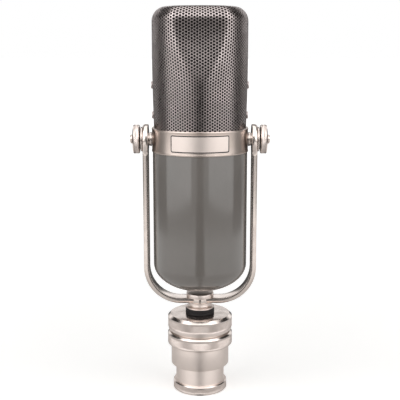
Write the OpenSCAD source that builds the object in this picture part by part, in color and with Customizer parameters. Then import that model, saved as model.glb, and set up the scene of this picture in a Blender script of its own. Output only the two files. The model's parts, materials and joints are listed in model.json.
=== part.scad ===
// Tube condenser microphone that tilts in a swivelling yoke, on an adapter for a threaded stand.
// Millimetres. +Z is up, the front faces -Y, +X is on the right seen from the front.
// The origin is the middle of the underside of the foot.

/* [Stand nut and adapter] */
// Radius of the knurled foot flange
foot_r = 15.35; // [14.5:0.05:16]
// Height of the foot flange
foot_h = 5; // [4:0.5:7]
// Radius of the stand nut above its flange
nut_r = 13.75; // [13:0.05:14.4]
// Height of the stand nut that shows under the barrel
nut_h = 15; // [14:0.5:16]
// Radius of the stand thread at its crests, for 5/8 inch with 27 turns an inch
thread_r = 7.43; // [6.5:0.01:8]
// Height where the stand thread ends
thread_top = 12.7; // [11:0.1:14]
// Radius of the plain adapter barrel
barrel_r = 16.45; // [16:0.05:17.5]
// Height of the adapter barrel
barrel_h = 12; // [11.5:0.5:14]

/* [Swivel] */
// Radius of the lower knurled ring
coupling_r = 18.4; // [17.5:0.05:20]
// Height of the lower knurled ring
coupling_h = 7.3; // [7:0.1:9]
// Height of the dark groove between the two rings
groove_h = 1.4; // [1:0.1:2]
// Radius of the upper knurled ring
lock_r = 18.3; // [17.5:0.05:20]
// Height of the upper knurled ring
lock_h = 8.9; // [8.5:0.1:10]
// Radius of the friction washer
washer_r = 8.2; // [7.9:0.1:9.5]
// Thickness of the friction washer
washer_h = 3.3; // [2:0.1:4]
// Radius of the neck that carries the yoke
neck_r = 5.7; // [5:0.1:6.5]
// Height of the collar between washer and yoke
collar_h = 3.1; // [2.5:0.1:4]
// Radius of the round bolt head on the yoke
bolt_head_r = 7.75; // [7:0.05:8.5]
// Height of the bolt head
bolt_head_h = 2.6; // [2:0.1:2.8]
// Radius of the bolt's shank
bolt_r = 4; // [3:0.1:4.5]

/* [Yoke] */
// Thickness of the strap
strap_t = 3.2; // [2.5:0.1:3.4]
// Width of the strap
strap_w = 9; // [8:0.5:10]
// Outer radius of the two bends
bend_r = 21; // [18:0.5:24]
// Outside width over the two arms
yoke_w = 63.3; // [62.5:0.1:64]
// Radius of the round eye at the top of each arm
eye_r = 8.4; // [7.6:0.1:9]
// Radius of the curve that runs from the arm into its eye
eye_blend_r = 4; // [3:0.5:6]
// Height of the tilt axis
tilt_z = 144.4; // [142:0.1:148]

/* [Tilt clamps] */
// Radius of the trunnion studs
stud_r = 2.5; // [2:0.1:3]
// Distance from the middle of the microphone to the end of a stud
stud_reach = 38.55; // [38:0.05:40]
// Radius of the thumb nuts
thumb_r = 7.96; // [7:0.02:9]
// Width of the thumb nuts
thumb_w = 3.6; // [3:0.05:4]
// Radius of the dished washers
dished_r = 6.8; // [6:0.1:7.2]

/* [Band and body] */
// Radius of the body shell
body_r = 26.1; // [25.8:0.05:26.2]
// Wall of the body shell
shell_t = 1.5; // [1.2:0.1:1.6]
// Height of the domed lower end of the shell
dome_h = 15.5; // [14:0.5:16.5]
// Gap between the bolt head and the dome
dome_gap = 1.8; // [1.5:0.1:3]
// Radius of the two rims of the trunnion band
band_r = 26.55; // [26.4:0.05:26.7]
// Height of the trunnion band
band_h = 13.1; // [12:0.1:14]
// Width of the blank plate
plate_w = 31; // [18:1:32]
// Height of the blank plate
plate_h = 9.4; // [6:0.2:10]

/* [Head grille] */
// Radius of the grille where it leaves the band
grille_foot_r = 25.3; // [25:0.05:25.3]
// Radius of the grille in its upper half
grille_r = 26; // [25.8:0.1:26.5]
// Height of the top of the grille
top_z = 216; // [212:0.2:220]
// Radius of the top edge at the sides
corner_r = 7.8; // [7:0.1:11]
// Radius of the top edge in front and behind
front_corner_r = 7.5; // [5:0.5:10]
// Depth that the flattened front loses against the round
flat_depth = 4.3; // [3:0.1:5]
// Wall of the grille
grille_t = 0.9; // [0.7:0.1:1]
// Radius of the grille screw heads
grille_screw_r = 2; // [1.5:0.1:2.5]

/* [Capsule] */
// Height of the capsule's middle
capsule_z = 189; // [186:0.5:191]
// Radius of the capsule
capsule_r = 17; // [15:0.5:17]

/* [Hidden] */
$fn = 96;

// Fits: clearance of a turning fit, clearance of a still fit, gap between faces of moving parts
running = 0.06;
loose = 0.05;
face_gap = 0.1;
// Extra length of a cutting tool past the face that it cuts
past = 1;

// Colours
nickel = [0.80, 0.76, 0.72];
bright_nickel = [0.87, 0.84, 0.81];
grille_nickel = [0.62, 0.58, 0.56];
body_grey = [0.49, 0.47, 0.46];
fibre_black = [0.09, 0.08, 0.09];
insulator = [0.75, 0.68, 0.50];
brass = [0.78, 0.62, 0.33];
steel = [0.66, 0.67, 0.69];
board_green = [0.16, 0.33, 0.22];
copper = [0.66, 0.36, 0.20];
gold = [0.86, 0.70, 0.34];

// Heights of the stack, from the foot up
barrel_z = nut_h + face_gap;
barrel_top = nut_h + barrel_h;
coupling_z = barrel_top + face_gap;
coupling_top = barrel_top + coupling_h;
lock_z = coupling_top + groove_h;
lock_top = lock_z + lock_h;
washer_z = lock_top + loose;
washer_top = lock_top + washer_h;
strap_z = washer_top + collar_h;
strap_top = strap_z + strap_t;
bolt_top = strap_top + bolt_head_h;
shell_z = bolt_top + dome_gap;
dome_top = shell_z + dome_h;
band_z = tilt_z - band_h / 2;
band_top = tilt_z + band_h / 2;

// Stand nut: its neck inside the barrel, the clip on the neck, and the lead-way above the thread
neck_in_r = 11;
ledge_h = 3;
neck_top = barrel_z + ledge_h + 2.1;
clip_groove_r = 10.2;
clip_z = barrel_z + ledge_h + 0.2;
clip_t = 1;
clip_r = 12.4;
lead_way_r = 6;
edge = 0.5;

// Adapter and coupling
socket_r = 12.6;
catch_neck_r = 13.9;
catch_r = 15.4;
catch_z = coupling_z + 2.5;
catch_t = 1.4;
adapter_top = catch_z + catch_t;
skirt_r = 15.44;
skirt_z = adapter_top + face_gap;
groove_r = 16;
contact_pcd_r = 7.2;
contact_count = 7;
pin_r = 0.5;
pin_bore_r = pin_r + 0.02;

// Swivel: plate of the lock ring, flange of the nut under it, bore of the bush
lock_plate_t = 3;
lock_plate_z = lock_top - lock_plate_t;
bush_r = 6;
housing_floor_z = lock_z + 3.6;
swivel_nut_r = 9;
bolt_end_z = lock_z + 0.2;

// Yoke: middle of the bends, and the inner and outer faces of the arms
arm_out = yoke_w / 2;
arm_in = arm_out - strap_t;
bend_x = arm_out - bend_r;
bend_z = strap_z + bend_r;
strap_round = 1.5;
// The blend's circle bites a little into eye and strap, so that the curves cross
blend_bite = 0.02;
blend_y = strap_w / 2 + eye_blend_r - blend_bite;
blend_drop = sqrt(pow(eye_r + eye_blend_r - blend_bite, 2) - pow(blend_y, 2));

// Tilt clamps, as distances from the middle of the microphone
band_bore_r = 20.5;
stud_head_w = 2.2;
stud_head_r = 4;
spacer_start = band_r + loose;
spacer_w = (arm_in - face_gap - spacer_start) / 2;
dished_start = arm_out + loose;
dish_rise = 0.55;
dish_t = 0.8;
thumb_start = dished_start + dish_rise + dish_t + 0.15;

// Band and shell
rim_h = 0.85;
band_mid_r = band_r - 0.15;
seat_r = 25.3;
shelf_half = 4.3;
shelf_low = tilt_z - shelf_half;
shelf_high = tilt_z + shelf_half;
spigot_r = 25.2;
shell_screw_r = 3.2;
shell_screw_shank_r = 1.5;
shell_floor = 2.3;

// Chassis
bottom_plate_z = shell_z + 9.4;
bottom_plate_r = 19;
boss_r = 3.5;
plate_t = 1.5;
rail_z = bottom_plate_z + plate_t;
top_plate_t = 2;
top_plate_z = shelf_low - 0.1 - top_plate_t;
rail_x = 14.5;
rail_t = 3;
rail_w = 8;
m2_r = 1;
m2_bore_r = m2_r + 0.02;
m2_clear_r = m2_r + 0.05;
m2_head_r = 1.6;
m2_head_h = 1.1;
band_screw_r = 21.7;
band_screw_turns = [90, 210, 330];
head_screw_turns = [30, 150, 270];

// Tube and transformer
core_w = 26;
core_d = 12;
core_h = 14;
window_w = 4.5;
window_h = 9;
core_z = rail_z + 0.1;
deck_z = core_z + core_h + 1;
deck_r = 21;
tube_y = -8;
tube_r = 9.2;
tube_pin_pcd_r = 4.76;
socket_h = 7.8;
tube_socket_z = deck_z + plate_t + 0.1;
tube_z = tube_socket_z + socket_h + 0.1;
tube_h = 43;
board_y = 6;
board_t = 1.6;
board_z = deck_z + plate_t + 0.2;
board_w = 27;
board_h = 48;

// Head
head_base_z = shelf_high + 0.1;
head_base_t = 1.8;
head_floor = head_base_z + head_base_t;
head_rail_x = 20.4;
head_rail_t = 2.2;
head_rail_w = 8;
head_rail_top = 181;
head_base_r = 24.1;
grille_screw_zs = [157.7, 174];
flare_z = 190;
flat_start_z = 170;
flat_end_z = 206;
flat_lead = 0.6;
crown = 0.5;

function part_of_one(t) = min(1, max(0, t));
function smooth(t) = let (u = part_of_one(t)) u * u * (3 - 2 * u);
function grille_round_r(z) =
    let (rise = part_of_one((z - band_top) / (flare_z - band_top)))
    grille_foot_r + (grille_r - grille_foot_r) * sin(90 * rise);
function flat_cut(z) =
    (flat_depth + flat_lead) * smooth((z - flat_start_z) / (flat_end_z - flat_start_z)) - flat_lead;
function on_circle(r, turn) = [r * cos(turn), r * sin(turn)];

module turned(profile) {
    rotate_extrude() polygon(profile);
}

module ring(r_out, r_in, z, top) {
    translate([0, 0, z]) difference() {
        cylinder(r = r_out, h = top - z);
        translate([0, 0, -past]) cylinder(r = r_in, h = top - z + 2 * past);
    }
}

// Turns a piece drawn along +Z onto the tilt axis, outwards on the side 1 (right) or -1 (left)
module on_tilt_axis(side) {
    translate([0, 0, tilt_z]) rotate([0, 90 * side, 0]) children();
}

// Turns a piece drawn along +Z onto the capsule's axis, so that it points to the back
module on_capsule_axis() {
    translate([0, 0, capsule_z]) rotate([-90, 0, 0]) children();
}

module round_row(r, turns) {
    for (turn = turns) {
        spot = on_circle(r, turn);
        translate([spot[0], spot[1], 0]) children();
    }
}

contact_turns = [for (i = [0:contact_count - 1]) 360 * i / contact_count];

// The foot flange and lower barrel, with the stand thread inside and the neck that turns in the barrel
module stand_nut() {
    color(nickel) turned([
        [thread_r + 0.8, 0], [foot_r - edge, 0], [foot_r, edge], [foot_r, foot_h - edge],
        [foot_r - edge, foot_h], [nut_r, foot_h], [nut_r, nut_h - 0.3], [nut_r - 0.3, nut_h],
        [neck_in_r, nut_h], [neck_in_r, clip_z - 0.1], [clip_groove_r, clip_z - 0.1],
        [clip_groove_r, clip_z + clip_t + 0.1], [neck_in_r, clip_z + clip_t + 0.1],
        [neck_in_r, neck_top], [lead_way_r, neck_top], [lead_way_r, thread_top + 1],
        [thread_r, thread_top], [thread_r, 0.8]
    ]);
}

module stand_nut_clip() {
    color(steel) difference() {
        ring(clip_r, clip_groove_r + loose, clip_z, clip_z + clip_t);
        translate([0, clip_r, clip_z]) cube([4, 2 * clip_r, 4 * clip_t], center = true);
    }
}

module adapter_barrel() {
    color(nickel) turned([
        [neck_in_r + running, barrel_z], [barrel_r, barrel_z], [barrel_r, barrel_top],
        [catch_neck_r, barrel_top], [catch_neck_r, catch_z], [catch_r, catch_z],
        [catch_r, adapter_top], [socket_r, adapter_top], [socket_r, barrel_z + 7.9],
        [clip_r + 0.8, barrel_z + 7.9], [clip_r + 0.8, barrel_z + ledge_h],
        [neck_in_r + running, barrel_z + ledge_h]
    ]);
}

module socket_insert() {
    color(fibre_black) difference() {
        translate([0, 0, barrel_z + 10]) cylinder(r = socket_r - loose, h = adapter_top - barrel_z - 10.2);
        round_row(contact_pcd_r, contact_turns)
            translate([0, 0, barrel_z]) cylinder(r = pin_r + 0.5, h = 30, $fn = 24);
    }
}

module socket_contacts() {
    color(gold) round_row(contact_pcd_r, contact_turns)
        ring(pin_r + 0.45, pin_r + loose, barrel_z + 8.2, adapter_top - 0.3, $fn = 24);
}

module coupling_ring() {
    color(nickel) turned([
        [catch_neck_r + 0.08, coupling_z], [coupling_r - 0.3, coupling_z],
        [coupling_r, coupling_z + 0.3], [coupling_r, coupling_top - 1],
        [coupling_r - 1, coupling_top], [skirt_r + running, coupling_top],
        [skirt_r + running, catch_z - 0.1], [catch_neck_r + 0.08, catch_z - 0.1]
    ]);
}

module swivel_housing() {
    color(nickel) turned([
        [socket_r + 0.6, skirt_z], [skirt_r, skirt_z], [skirt_r, coupling_top + 0.1],
        [groove_r, coupling_top + 0.1], [groove_r, lock_z - 0.1], [skirt_r, lock_z - 0.1],
        [skirt_r, lock_plate_z - 0.6], [12.5, lock_plate_z - 0.6], [12.5, housing_floor_z],
        [bush_r, housing_floor_z], [bush_r, lock_z + 0.6], [socket_r + 0.6, lock_z + 0.6]
    ]);
}

module plug_insert() {
    color(fibre_black) difference() {
        translate([0, 0, skirt_z + 0.1]) cylinder(r = socket_r + 0.5, h = 2.4);
        round_row(contact_pcd_r, contact_turns)
            translate([0, 0, skirt_z - past]) cylinder(r = pin_bore_r, h = 6, $fn = 24);
    }
}

module plug_pins() {
    color(gold) round_row(contact_pcd_r, contact_turns)
        translate([0, 0, skirt_z - 5]) cylinder(r = pin_r, h = 9, $fn = 24);
}

module swivel_bush() {
    color(brass) turned([
        [bolt_r + running, lock_z - 0.1], [bush_r + 1.5, lock_z - 0.1], [bush_r + 1.5, lock_z + 0.5],
        [bush_r - loose, lock_z + 0.5], [bush_r - loose, housing_floor_z],
        [bolt_r + running, housing_floor_z]
    ]);
}

// The upper knurled ring: a cap that screws over the housing, with a smooth lip under the knurl
module lock_ring() {
    lip_r = lock_r - 0.3;
    color(nickel) turned([
        [skirt_r + running, lock_z], [lip_r, lock_z], [lip_r, lock_z + 1.4], [lock_r, lock_z + 1.4],
        [lock_r, lock_top - 1.5], [lock_r - 1.5, lock_top], [bolt_r + running, lock_top],
        [bolt_r + running, lock_plate_z], [skirt_r + running, lock_plate_z]
    ]);
}

module friction_washer() {
    color(fibre_black) ring(washer_r, bolt_r + loose, washer_z, washer_top);
}

module yoke_collar() {
    flange_r = washer_r - 0.3;
    color(bright_nickel) turned([
        [bolt_r + loose, washer_top], [flange_r, washer_top], [flange_r, washer_top + 0.7],
        [neck_r + 0.6, washer_top + 1], [neck_r, washer_top + 1.6], [neck_r, strap_z],
        [bolt_r + loose, strap_z]
    ]);
}

// Cross-section of the strap: thin along x, wide along y, with round edges
module strap_section() {
    x = strap_t / 2 - strap_round;
    y = strap_w / 2 - strap_round;
    square([strap_t, 2 * y], center = true);
    square([2 * x, strap_w], center = true);
    for (sx = [-1, 1], sy = [-1, 1]) translate([sx * x, sy * y]) circle(r = strap_round, $fn = 32);
}

// One arm's eye seen from the side, with its two blends down into the strap
module eye_outline() {
    circle(r = eye_r);
    difference() {
        polygon([[0, 0], [blend_drop, blend_y], [blend_drop, -blend_y]]);
        for (s = [-1, 1]) translate([blend_drop, s * blend_y]) circle(r = eye_blend_r);
    }
}

module yoke_strap() {
    color(bright_nickel) difference() {
        union() {
            translate([0, 0, strap_z + strap_t / 2]) rotate([0, 90, 0])
                translate([0, 0, -bend_x]) linear_extrude(2 * bend_x) strap_section();
            translate([0, 0, strap_z]) cylinder(r = neck_r, h = strap_t);
            for (side = [0, 1]) mirror([side, 0, 0]) {
                translate([bend_x, 0, bend_z]) rotate([90, 0, 0])
                    rotate([0, 0, -90]) rotate_extrude(angle = 90)
                        translate([bend_r - strap_t / 2, 0]) strap_section();
                translate([arm_out - strap_t / 2, 0, bend_z])
                    linear_extrude(tilt_z - bend_z) strap_section();
                translate([arm_in, 0, tilt_z]) rotate([0, 90, 0]) linear_extrude(strap_t) eye_outline();
            }
        }
        translate([0, 0, strap_z - past]) cylinder(r = bolt_r + loose, h = strap_t + 2 * past);
        translate([-yoke_w, 0, tilt_z]) rotate([0, 90, 0]) cylinder(r = stud_r + running, h = 2 * yoke_w);
    }
}

module swivel_bolt() {
    color(bright_nickel) turned([
        [0, bolt_end_z], [bolt_r - 0.4, bolt_end_z], [bolt_r, bolt_end_z + 0.4], [bolt_r, strap_top],
        [bolt_head_r, strap_top], [bolt_head_r, bolt_top - 0.3], [bolt_head_r - 0.3, bolt_top],
        [0, bolt_top]
    ]);
}

module swivel_nut() {
    color(steel) ring(swivel_nut_r, bolt_r + loose, housing_floor_z + 0.1, lock_plate_z - 0.1);
}

// Cone-shaped spring washer, hollow towards the arm
module dished_washer(side) {
    color(steel) on_tilt_axis(side) turned([
        [stud_r + 0.1, dished_start + dish_rise], [dished_r, dished_start],
        [dished_r, dished_start + dish_t], [stud_r + 0.1, dished_start + dish_rise + dish_t]
    ]);
}

module thumb_nut(side) {
    end = thumb_start + thumb_w;
    color(bright_nickel) on_tilt_axis(side) turned([
        [stud_r + running, thumb_start], [thumb_r - 0.4, thumb_start], [thumb_r, thumb_start + 0.4],
        [thumb_r, end - 0.5], [thumb_r - 0.5, end], [stud_r + 0.7, end], [stud_r + running, end - 0.6]
    ]);
}

// Hexagon head inside the band, shank out through band, spacers, arm and thumb nut
module trunnion_stud(side) {
    head_out = band_bore_r - 0.1;
    color(bright_nickel) on_tilt_axis(side) {
        translate([0, 0, head_out - stud_head_w]) cylinder(r = stud_head_r, h = stud_head_w, $fn = 6);
        turned([
            [0, head_out - 0.5], [stud_r, head_out - 0.5], [stud_r, stud_reach - 0.5],
            [stud_r - 0.5, stud_reach], [0, stud_reach]
        ]);
    }
}

module spacer_rings(side) {
    color(bright_nickel) on_tilt_axis(side) {
        ring(3.9, stud_r + loose, spacer_start, spacer_start + spacer_w - 0.02);
        ring(3.6, stud_r + loose, spacer_start + spacer_w + 0.02, spacer_start + 2 * spacer_w);
    }
}

// Ring that carries the two trunnions: a rim at each end, a seat for shell and grille, a shelf inside
module trunnion_band() {
    color(nickel) difference() {
        turned([
            [band_bore_r, shelf_low], [seat_r, shelf_low], [seat_r, band_z], [band_r, band_z],
            [band_r, band_z + rim_h], [band_mid_r, band_z + rim_h + 0.15],
            [band_mid_r, band_top - rim_h - 0.15], [band_r, band_top - rim_h], [band_r, band_top],
            [seat_r, band_top], [seat_r, shelf_high], [band_bore_r, shelf_high]
        ]);
        for (side = [-1, 1]) on_tilt_axis(side) {
            cylinder(r = stud_r + loose, h = 40);
            cylinder(r = stud_head_r + 0.1, h = band_bore_r);
        }
        round_row(band_screw_r, band_screw_turns)
            translate([0, 0, shelf_low - past]) cylinder(r = m2_bore_r, h = 5, $fn = 24);
        round_row(band_screw_r, head_screw_turns)
            translate([0, 0, shelf_high - 4]) cylinder(r = m2_bore_r, h = 4 + past, $fn = 24);
    }
}

// Blank plate with round corners, bent to the band
module blank_plate() {
    corner = 1.2;
    x = plate_w / 2 - corner;
    z = plate_h / 2 - corner;
    color(bright_nickel) intersection() {
        ring(band_mid_r + 0.4, band_mid_r + 0.02, band_z, band_top);
        translate([0, 0, tilt_z]) rotate([90, 0, 0]) linear_extrude(band_r + past) {
            square([plate_w, 2 * z], center = true);
            square([2 * x, plate_h], center = true);
            for (sx = [-1, 1], sz = [-1, 1]) translate([sx * x, sz * z]) circle(r = corner, $fn = 32);
        }
    }
}

module body_shell() {
    inner_r = body_r - shell_t;
    inner_h = dome_h - shell_floor;
    steps = 14;
    color(body_grey) difference() {
        turned(concat(
            [for (i = [0:steps]) let (a = 90 * i / steps) [body_r * sin(a), dome_top - dome_h * cos(a)]],
            [[body_r, band_z - 0.05], [spigot_r, band_z - 0.05], [spigot_r, shelf_low - 0.2],
             [inner_r, shelf_low - 0.2]],
            [for (i = [0:steps]) let (a = 90 * i / steps) [inner_r * cos(a), dome_top - inner_h * sin(a)]]
        ));
        translate([0, 0, shell_z - past]) cylinder(r = shell_screw_shank_r + 0.1, h = 5, $fn = 32);
        translate([0, 0, shell_z - past]) cylinder(r = shell_screw_r + 0.1, h = 1.2 + past, $fn = 48);
    }
}

module shell_screw() {
    color(steel) {
        translate([0, 0, shell_z + 0.15]) cylinder(r = shell_screw_r, h = 1.05, $fn = 48);
        translate([0, 0, shell_z + 1]) cylinder(r = shell_screw_shank_r, h = 7, $fn = 32);
    }
}

module chassis_bottom_plate() {
    color(steel) difference() {
        union() {
            translate([0, 0, bottom_plate_z]) cylinder(r = bottom_plate_r, h = plate_t);
            translate([0, 0, shell_z + shell_floor + 0.3])
                cylinder(r = boss_r, h = bottom_plate_z - shell_z - shell_floor);
        }
        translate([0, 0, shell_z]) cylinder(r = shell_screw_shank_r + 0.02, h = 8.5, $fn = 32);
        for (side = [-1, 1]) translate([side * (rail_x + rail_t / 2), 0, bottom_plate_z - past])
            cylinder(r = m2_bore_r, h = 4, $fn = 24);
    }
}

// Milled bar between the two plates, with a screw hole in each end
module chassis_rail(side) {
    color(steel) difference() {
        translate([side * (rail_x + rail_t / 2), 0, (rail_z + top_plate_z) / 2])
            cube([rail_t, rail_w, top_plate_z - rail_z], center = true);
        for (z = [rail_z - past, top_plate_z - 6]) translate([side * (rail_x + rail_t / 2), 0, z])
            cylinder(r = m2_bore_r, h = 6 + past, $fn = 24);
    }
}

module chassis_top_plate() {
    color(steel) difference() {
        translate([0, 0, top_plate_z]) cylinder(r = body_r - shell_t - 0.2, h = top_plate_t);
        translate([0, 0, top_plate_z - past]) cylinder(r = 3, h = 5, $fn = 32);
        for (side = [-1, 1]) translate([side * (rail_x + rail_t / 2), 0, top_plate_z - past])
            cylinder(r = m2_bore_r, h = 5, $fn = 24);
        round_row(band_screw_r, band_screw_turns)
            translate([0, 0, top_plate_z - past]) cylinder(r = m2_bore_r, h = 5, $fn = 24);
    }
}

// Screw drawn with its shank up from z = 0 and its head below
module m2_screw(length) {
    cylinder(r = m2_r, h = length, $fn = 24);
    translate([0, 0, -m2_head_h]) cylinder(r = m2_head_r, h = m2_head_h, $fn = 32);
}

module chassis_screws() {
    color(steel) {
        for (side = [-1, 1]) translate([side * (rail_x + rail_t / 2), 0, 0]) {
            translate([0, 0, bottom_plate_z]) m2_screw(6);
            translate([0, 0, top_plate_z + top_plate_t]) mirror([0, 0, 1]) m2_screw(6);
        }
        round_row(band_screw_r, band_screw_turns) translate([0, 0, top_plate_z]) m2_screw(5);
        round_row(band_screw_r, head_screw_turns)
            translate([0, 0, head_floor]) mirror([0, 0, 1]) m2_screw(5);
    }
}

// Two-window core of stamped laminations
module transformer_core() {
    window_x = window_w / 2 + window_w;
    color(steel) translate([0, 0, core_z + core_h / 2]) difference() {
        cube([core_w, core_d, core_h], center = true);
        for (side = [-1, 1]) translate([side * window_x, 0, 0])
            cube([window_w, core_d + 2 * past, window_h], center = true);
    }
}

module transformer_winding() {
    gap = 0.1;
    leg_w = 2 * window_w;
    color(copper) translate([0, 0, core_z + core_h / 2]) difference() {
        cube([leg_w + 2 * (window_w - gap), core_d + 7, window_h - 2 * gap], center = true);
        cube([leg_w + 2 * gap, core_d + 2 * gap, window_h + past], center = true);
    }
}

module transformer_bracket() {
    wall = 0.8;
    inner = core_w / 2 + 0.1;
    color(steel) {
        for (side = [-1, 1]) translate([side * (inner + wall / 2), 0, core_z + core_h / 2])
            cube([wall, 8, core_h], center = true);
        translate([0, 0, core_z + core_h + wall / 2 + 0.05])
            cube([2 * (inner + wall), 8, wall], center = true);
    }
}

module tube_deck() {
    color(steel) difference() {
        intersection() {
            translate([0, 0, deck_z]) cylinder(r = deck_r, h = plate_t);
            translate([0, 0, deck_z]) cube([2 * rail_x - 0.2, 60, 10], center = true);
        }
        translate([0, tube_y, deck_z - past]) cylinder(r = 7, h = 5);
    }
}

tube_pin_turns = [for (i = [1:7]) -90 + 45 * i];

module tube_socket() {
    color(fibre_black) translate([0, tube_y, 0]) difference() {
        ring(10.5, 2, tube_socket_z, tube_socket_z + socket_h);
        round_row(tube_pin_pcd_r, tube_pin_turns)
            translate([0, 0, tube_socket_z - past]) cylinder(r = 0.6, h = 12, $fn = 24);
    }
}

// Hollow bulb with its exhaust tip on top and a thick glass button at the bottom
module tube_glass() {
    top = tube_z + tube_h;
    color([0.8, 0.87, 0.9, 0.35]) translate([0, tube_y, 0]) difference() {
        turned([
            [0, tube_z], [tube_r - 0.8, tube_z], [tube_r, tube_z + 1.6], [tube_r, top - 9],
            [tube_r - 0.9, top - 5.8], [tube_r - 3.4, top - 3.6], [1.6, top - 2.6], [1.1, top - 1], [0, top]
        ]);
        turned([
            [0, tube_z + 2.4], [tube_r - 0.9, tube_z + 2.4], [tube_r - 0.9, top - 9.2],
            [tube_r - 1.8, top - 6.4], [tube_r - 4, top - 4.5], [0, top - 3.6]
        ]);
        round_row(tube_pin_pcd_r, tube_pin_turns)
            translate([0, 0, tube_z - past]) cylinder(r = pin_bore_r, h = 4, $fn = 24);
    }
}

// Plate, two mica discs and the rods between them
module tube_elements() {
    low_mica = tube_z + 7;
    high_mica = tube_z + 29;
    color([0.35, 0.35, 0.36]) translate([0, tube_y, 0]) {
        ring(4.6, 4.2, low_mica + 0.6, high_mica);
        for (z = [low_mica, high_mica]) translate([0, 0, z]) cylinder(r = 7.9, h = 0.6);
        for (x = [-5.6, -1.6, 0, 1.6, 5.6]) translate([x, 0, tube_z + 5])
            cylinder(r = 0.5, h = 26, $fn = 24);
    }
}

module tube_pins() {
    color(steel) translate([0, tube_y, 0]) round_row(tube_pin_pcd_r, tube_pin_turns)
        translate([0, 0, tube_z - 7]) cylinder(r = pin_r, h = 10.5, $fn = 24);
}

module circuit_board() {
    color(board_green) translate([-board_w / 2, board_y, board_z]) cube([board_w, board_t, board_h]);
}

module electrolytic_capacitors() {
    r = 4.5;
    color([0.16, 0.2, 0.4]) for (x = [-6.5, 6.5])
        translate([x, board_y + board_t + 0.1 + r, board_z + 3]) cylinder(r = r, h = 20);
}

module film_capacitors() {
    color([0.72, 0.5, 0.14]) for (i = [0:2])
        translate([-12 + i * 8.2, board_y + board_t + 0.1, board_z + 28]) cube([7, 5.5, 12]);
}

// Axial resistors in two columns on the side of the tube
module resistors() {
    r = 1.1;
    color([0.7, 0.6, 0.45]) for (x = [-9.5, 9.5], i = [0:5])
        translate([x - 3, board_y - 0.1 - r, board_z + 12 + i * 5.6]) rotate([0, 90, 0])
            cylinder(r = r, h = 6, $fn = 32);
}

module head_base() {
    color(insulator) difference() {
        translate([0, 0, head_base_z]) cylinder(r = head_base_r, h = head_base_t);
        translate([0, 9, head_base_z - past]) cylinder(r = 2, h = 5, $fn = 32);
        round_row(band_screw_r, head_screw_turns)
            translate([0, 0, head_base_z - past]) cylinder(r = m2_bore_r, h = 5, $fn = 24);
    }
}

module grille_screw_holes(side, r) {
    for (z = grille_screw_zs) translate([0, 0, z]) rotate([0, 90 * side, 0])
        translate([0, 0, head_rail_x - past]) cylinder(r = r, h = 8, $fn = 24);
}

module head_rail(side) {
    foot = head_floor + 0.1;
    color(steel) difference() {
        translate([side * (head_rail_x + head_rail_t / 2), 0, (foot + head_rail_top) / 2])
            cube([head_rail_t, head_rail_w, head_rail_top - foot], center = true);
        grille_screw_holes(side, m2_bore_r);
    }
}

// Block on the head base with the post that carries the saddle
module capsule_post() {
    foot = head_floor + 0.1;
    color(insulator) {
        translate([0, 0, foot + 2]) cube([12, 8, 4], center = true);
        translate([0, 0, foot + 2]) cylinder(r = 2.6, h = capsule_z - capsule_r - 5.6 - foot - 2);
    }
}

module capsule_saddle() {
    bore = capsule_r + 0.1;
    color(insulator) difference() {
        union() {
            intersection() {
                translate([0, -3.2, 0]) on_capsule_axis() cylinder(r = bore + 2.3, h = 6.4);
                translate([0, 0, capsule_z - 20]) cube([60, 20, 40], center = true);
            }
            translate([0, 0, capsule_z - capsule_r - 5.5]) cylinder(r = 3.1, h = 6);
        }
        translate([0, -20, 0]) on_capsule_axis() cylinder(r = bore, h = 40);
    }
}

capsule_screw_turns = [for (i = [0:7]) 22.5 + 45 * i];
capsule_screw_pcd_r = 15.5;
capsule_thread_r = 0.52;

module capsule_ring() {
    color(brass) on_capsule_axis() difference() {
        ring(capsule_r, 14.2, -3, 3);
        round_row(capsule_screw_pcd_r, capsule_screw_turns)
            translate([0, 0, -4]) cylinder(r = capsule_thread_r, h = 4, $fn = 20);
    }
}

module capsule_backplate() {
    color(brass) on_capsule_axis() difference() {
        translate([0, 0, -2.6]) cylinder(r = 14.1, h = 5.2);
        for (row = [1:3]) round_row(4 * row - 0.5, [for (i = [0:6 * row - 1]) 60 * i / row])
            translate([0, 0, -4]) cylinder(r = 0.6, h = 8, $fn = 20);
    }
}

module capsule_diaphragm() {
    color(gold) on_capsule_axis() difference() {
        translate([0, 0, -3.25]) cylinder(r = 16.6, h = 0.2);
        round_row(capsule_screw_pcd_r, capsule_screw_turns)
            translate([0, 0, -4]) cylinder(r = capsule_thread_r, h = 4, $fn = 20);
    }
}

module capsule_clamp_ring() {
    color(brass) on_capsule_axis() difference() {
        ring(16.8, 13.4, -4.5, -3.3);
        round_row(capsule_screw_pcd_r, capsule_screw_turns)
            translate([0, 0, -6]) cylinder(r = capsule_thread_r, h = 4, $fn = 20);
    }
}

module capsule_screws() {
    color(steel) on_capsule_axis() round_row(capsule_screw_pcd_r, capsule_screw_turns) {
        translate([0, 0, -5.3]) cylinder(r = 0.95, h = 0.78, $fn = 24);
        translate([0, 0, -5.3]) cylinder(r = 0.5, h = 4.5, $fn = 20);
    }
}

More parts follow.
